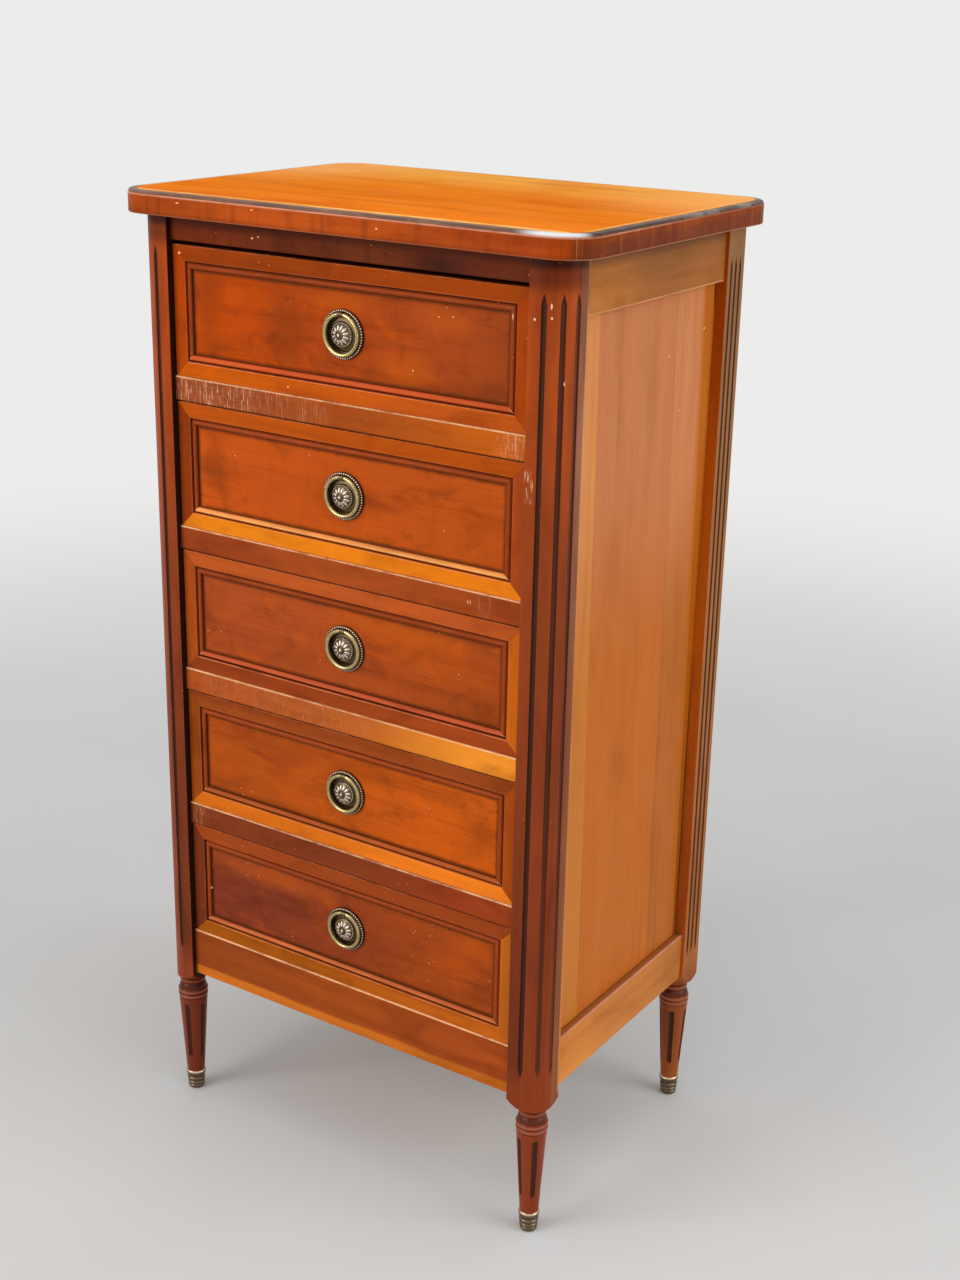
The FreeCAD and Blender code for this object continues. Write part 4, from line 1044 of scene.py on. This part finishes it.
relief = relief_mesh()
for number in drawer_numbers:
    piece = bpy.data.objects.new("drawer_%d_pull_relief" % number, relief)
    bpy.context.scene.collection.objects.link(piece)
    piece.location = (0, board_face, front_centre[number])
    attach(piece, "drawer_%d" % number)


# Floor, light and camera

BACKDROP = (236, 236, 235)
floor_reach = 14.0
fade_start = 0.9
fade_end = 3.2


def floor_material():
    """Pale matt floor with the part's shadow, which fades to the backdrop's colour far from the part."""
    s = Shader("studio_floor")
    cloud = s.noise((1.6, 1.6, 1.6), 0.0, 3)
    shell = s.mix(s.step(cloud, 0.3, 0.7), colour(205, 205, 203), colour(210, 210, 209))
    s.finish(shell, 0.85, specular=0.1)
    far = s.length(s.x, s.y)
    rays = s.node("ShaderNodeLightPath")
    seen = s.max(rays.outputs["Is Camera Ray"], rays.outputs["Is Glossy Ray"])
    glow = s.node("ShaderNodeEmission")
    s.put(glow.inputs["Color"], colour(*BACKDROP))
    s.put(glow.inputs["Strength"], 1.0)
    blend = s.node("ShaderNodeMixShader")
    s.put(blend.inputs[0], s.mul(s.step(far, fade_start, fade_end), seen))
    s.put(blend.inputs[1], s.surface.outputs[0])
    s.put(blend.inputs[2], glow.outputs[0])
    s.put(s.output.inputs[0], blend.outputs[0])
    return s.material


def make_floor():
    mesh = bmesh.new()
    signs = ((-1, -1), (1, -1), (1, 1), (-1, 1))
    mesh.faces.new([mesh.verts.new((x * floor_reach, y * floor_reach, 0)) for x, y in signs])
    data = bpy.data.meshes.new("studio_floor")
    mesh.to_mesh(data)
    mesh.free()
    data.materials.append(floor_material())
    floor = bpy.data.objects.new("studio_floor", data)
    bpy.context.scene.collection.objects.link(floor)


def make_world():
    """A soft even light; the camera and glossy rays see the backdrop's colour instead."""
    world = bpy.data.worlds.new("studio_world")
    bpy.context.scene.world = world
    world.use_nodes = True
    tree = world.node_tree
    tree.nodes.clear()
    output = tree.nodes.new("ShaderNodeOutputWorld")
    seen = tree.nodes.new("ShaderNodeBackground")
    seen.inputs["Color"].default_value = colour(*BACKDROP)
    seen.inputs["Strength"].default_value = 1.0
    lit = tree.nodes.new("ShaderNodeBackground")
    lit.inputs["Color"].default_value = (0.97, 0.98, 1.0, 1.0)
    lit.inputs["Strength"].default_value = 0.60
    rays = tree.nodes.new("ShaderNodeLightPath")
    direct = tree.nodes.new("ShaderNodeMath")
    direct.operation = "MAXIMUM"
    tree.links.new(rays.outputs["Is Camera Ray"], direct.inputs[0])
    tree.links.new(rays.outputs["Is Glossy Ray"], direct.inputs[1])
    mix = tree.nodes.new("ShaderNodeMixShader")
    tree.links.new(direct.outputs[0], mix.inputs[0])
    tree.links.new(lit.outputs[0], mix.inputs[1])
    tree.links.new(seen.outputs[0], mix.inputs[2])
    tree.links.new(mix.outputs[0], output.inputs[0])


def area_light(name, place, target, width, height, power, tint=(1.0, 1.0, 1.0)):
    data = bpy.data.lights.new(name, "AREA")
    data.shape = "RECTANGLE"
    data.size = width
    data.size_y = height
    data.energy = power
    data.color = tint
    lamp = bpy.data.objects.new(name, data)
    bpy.context.scene.collection.objects.link(lamp)
    lamp.location = place
    lamp.rotation_euler = (Vector(target) - Vector(place)).to_track_quat("-Z", "Y").to_euler()


camera_place = Vector((1.155097, -1.685515, 1.340968))
camera_angles_deg = (33.125, -19.723, 1.212)
focal_length_px = 1853.5
photo_height_px = 1280


def make_camera():
    """The photograph's viewing angle, from a fit to its edges."""
    yaw, pitch_angle, roll = (math.radians(angle) for angle in camera_angles_deg)
    forward = Vector((-math.sin(yaw) * math.cos(pitch_angle), math.cos(yaw) * math.cos(pitch_angle),
                      math.sin(pitch_angle)))
    level = Vector((math.cos(yaw), math.sin(yaw), 0))
    upright = level.cross(forward)
    right = level * math.cos(roll) + upright * math.sin(roll)
    up = upright * math.cos(roll) - level * math.sin(roll)
    data = bpy.data.cameras.new("photo_camera")
    data.sensor_fit = "VERTICAL"
    data.sensor_height = 36.0
    data.sensor_width = 27.0
    data.lens = focal_length_px * data.sensor_height / photo_height_px
    data.clip_start = 0.05
    data.clip_end = 60
    camera = bpy.data.objects.new("photo_camera", data)
    bpy.context.scene.collection.objects.link(camera)
    matrix = Matrix((right, up, -forward)).transposed().to_4x4()
    matrix.translation = camera_place
    camera.matrix_world = matrix
    bpy.context.scene.camera = camera


make_floor()
make_world()
chest_middle = (0, 0, 0.6)
area_light("key_top", (0.4, -0.4, 3.2), chest_middle, 2.4, 2.4, 21)
area_light("side_right", (3.0, 0.4, 1.7), chest_middle, 1.8, 2.6, 42, (0.98, 0.99, 1.0))
area_light("front_left", (-1.6, -3.0, 1.9), chest_middle, 2.0, 2.2, 60, (1.0, 0.99, 0.97))
make_camera()
bpy.context.scene.view_settings.view_transform = "Standard"

bpy.context.view_layer.update()
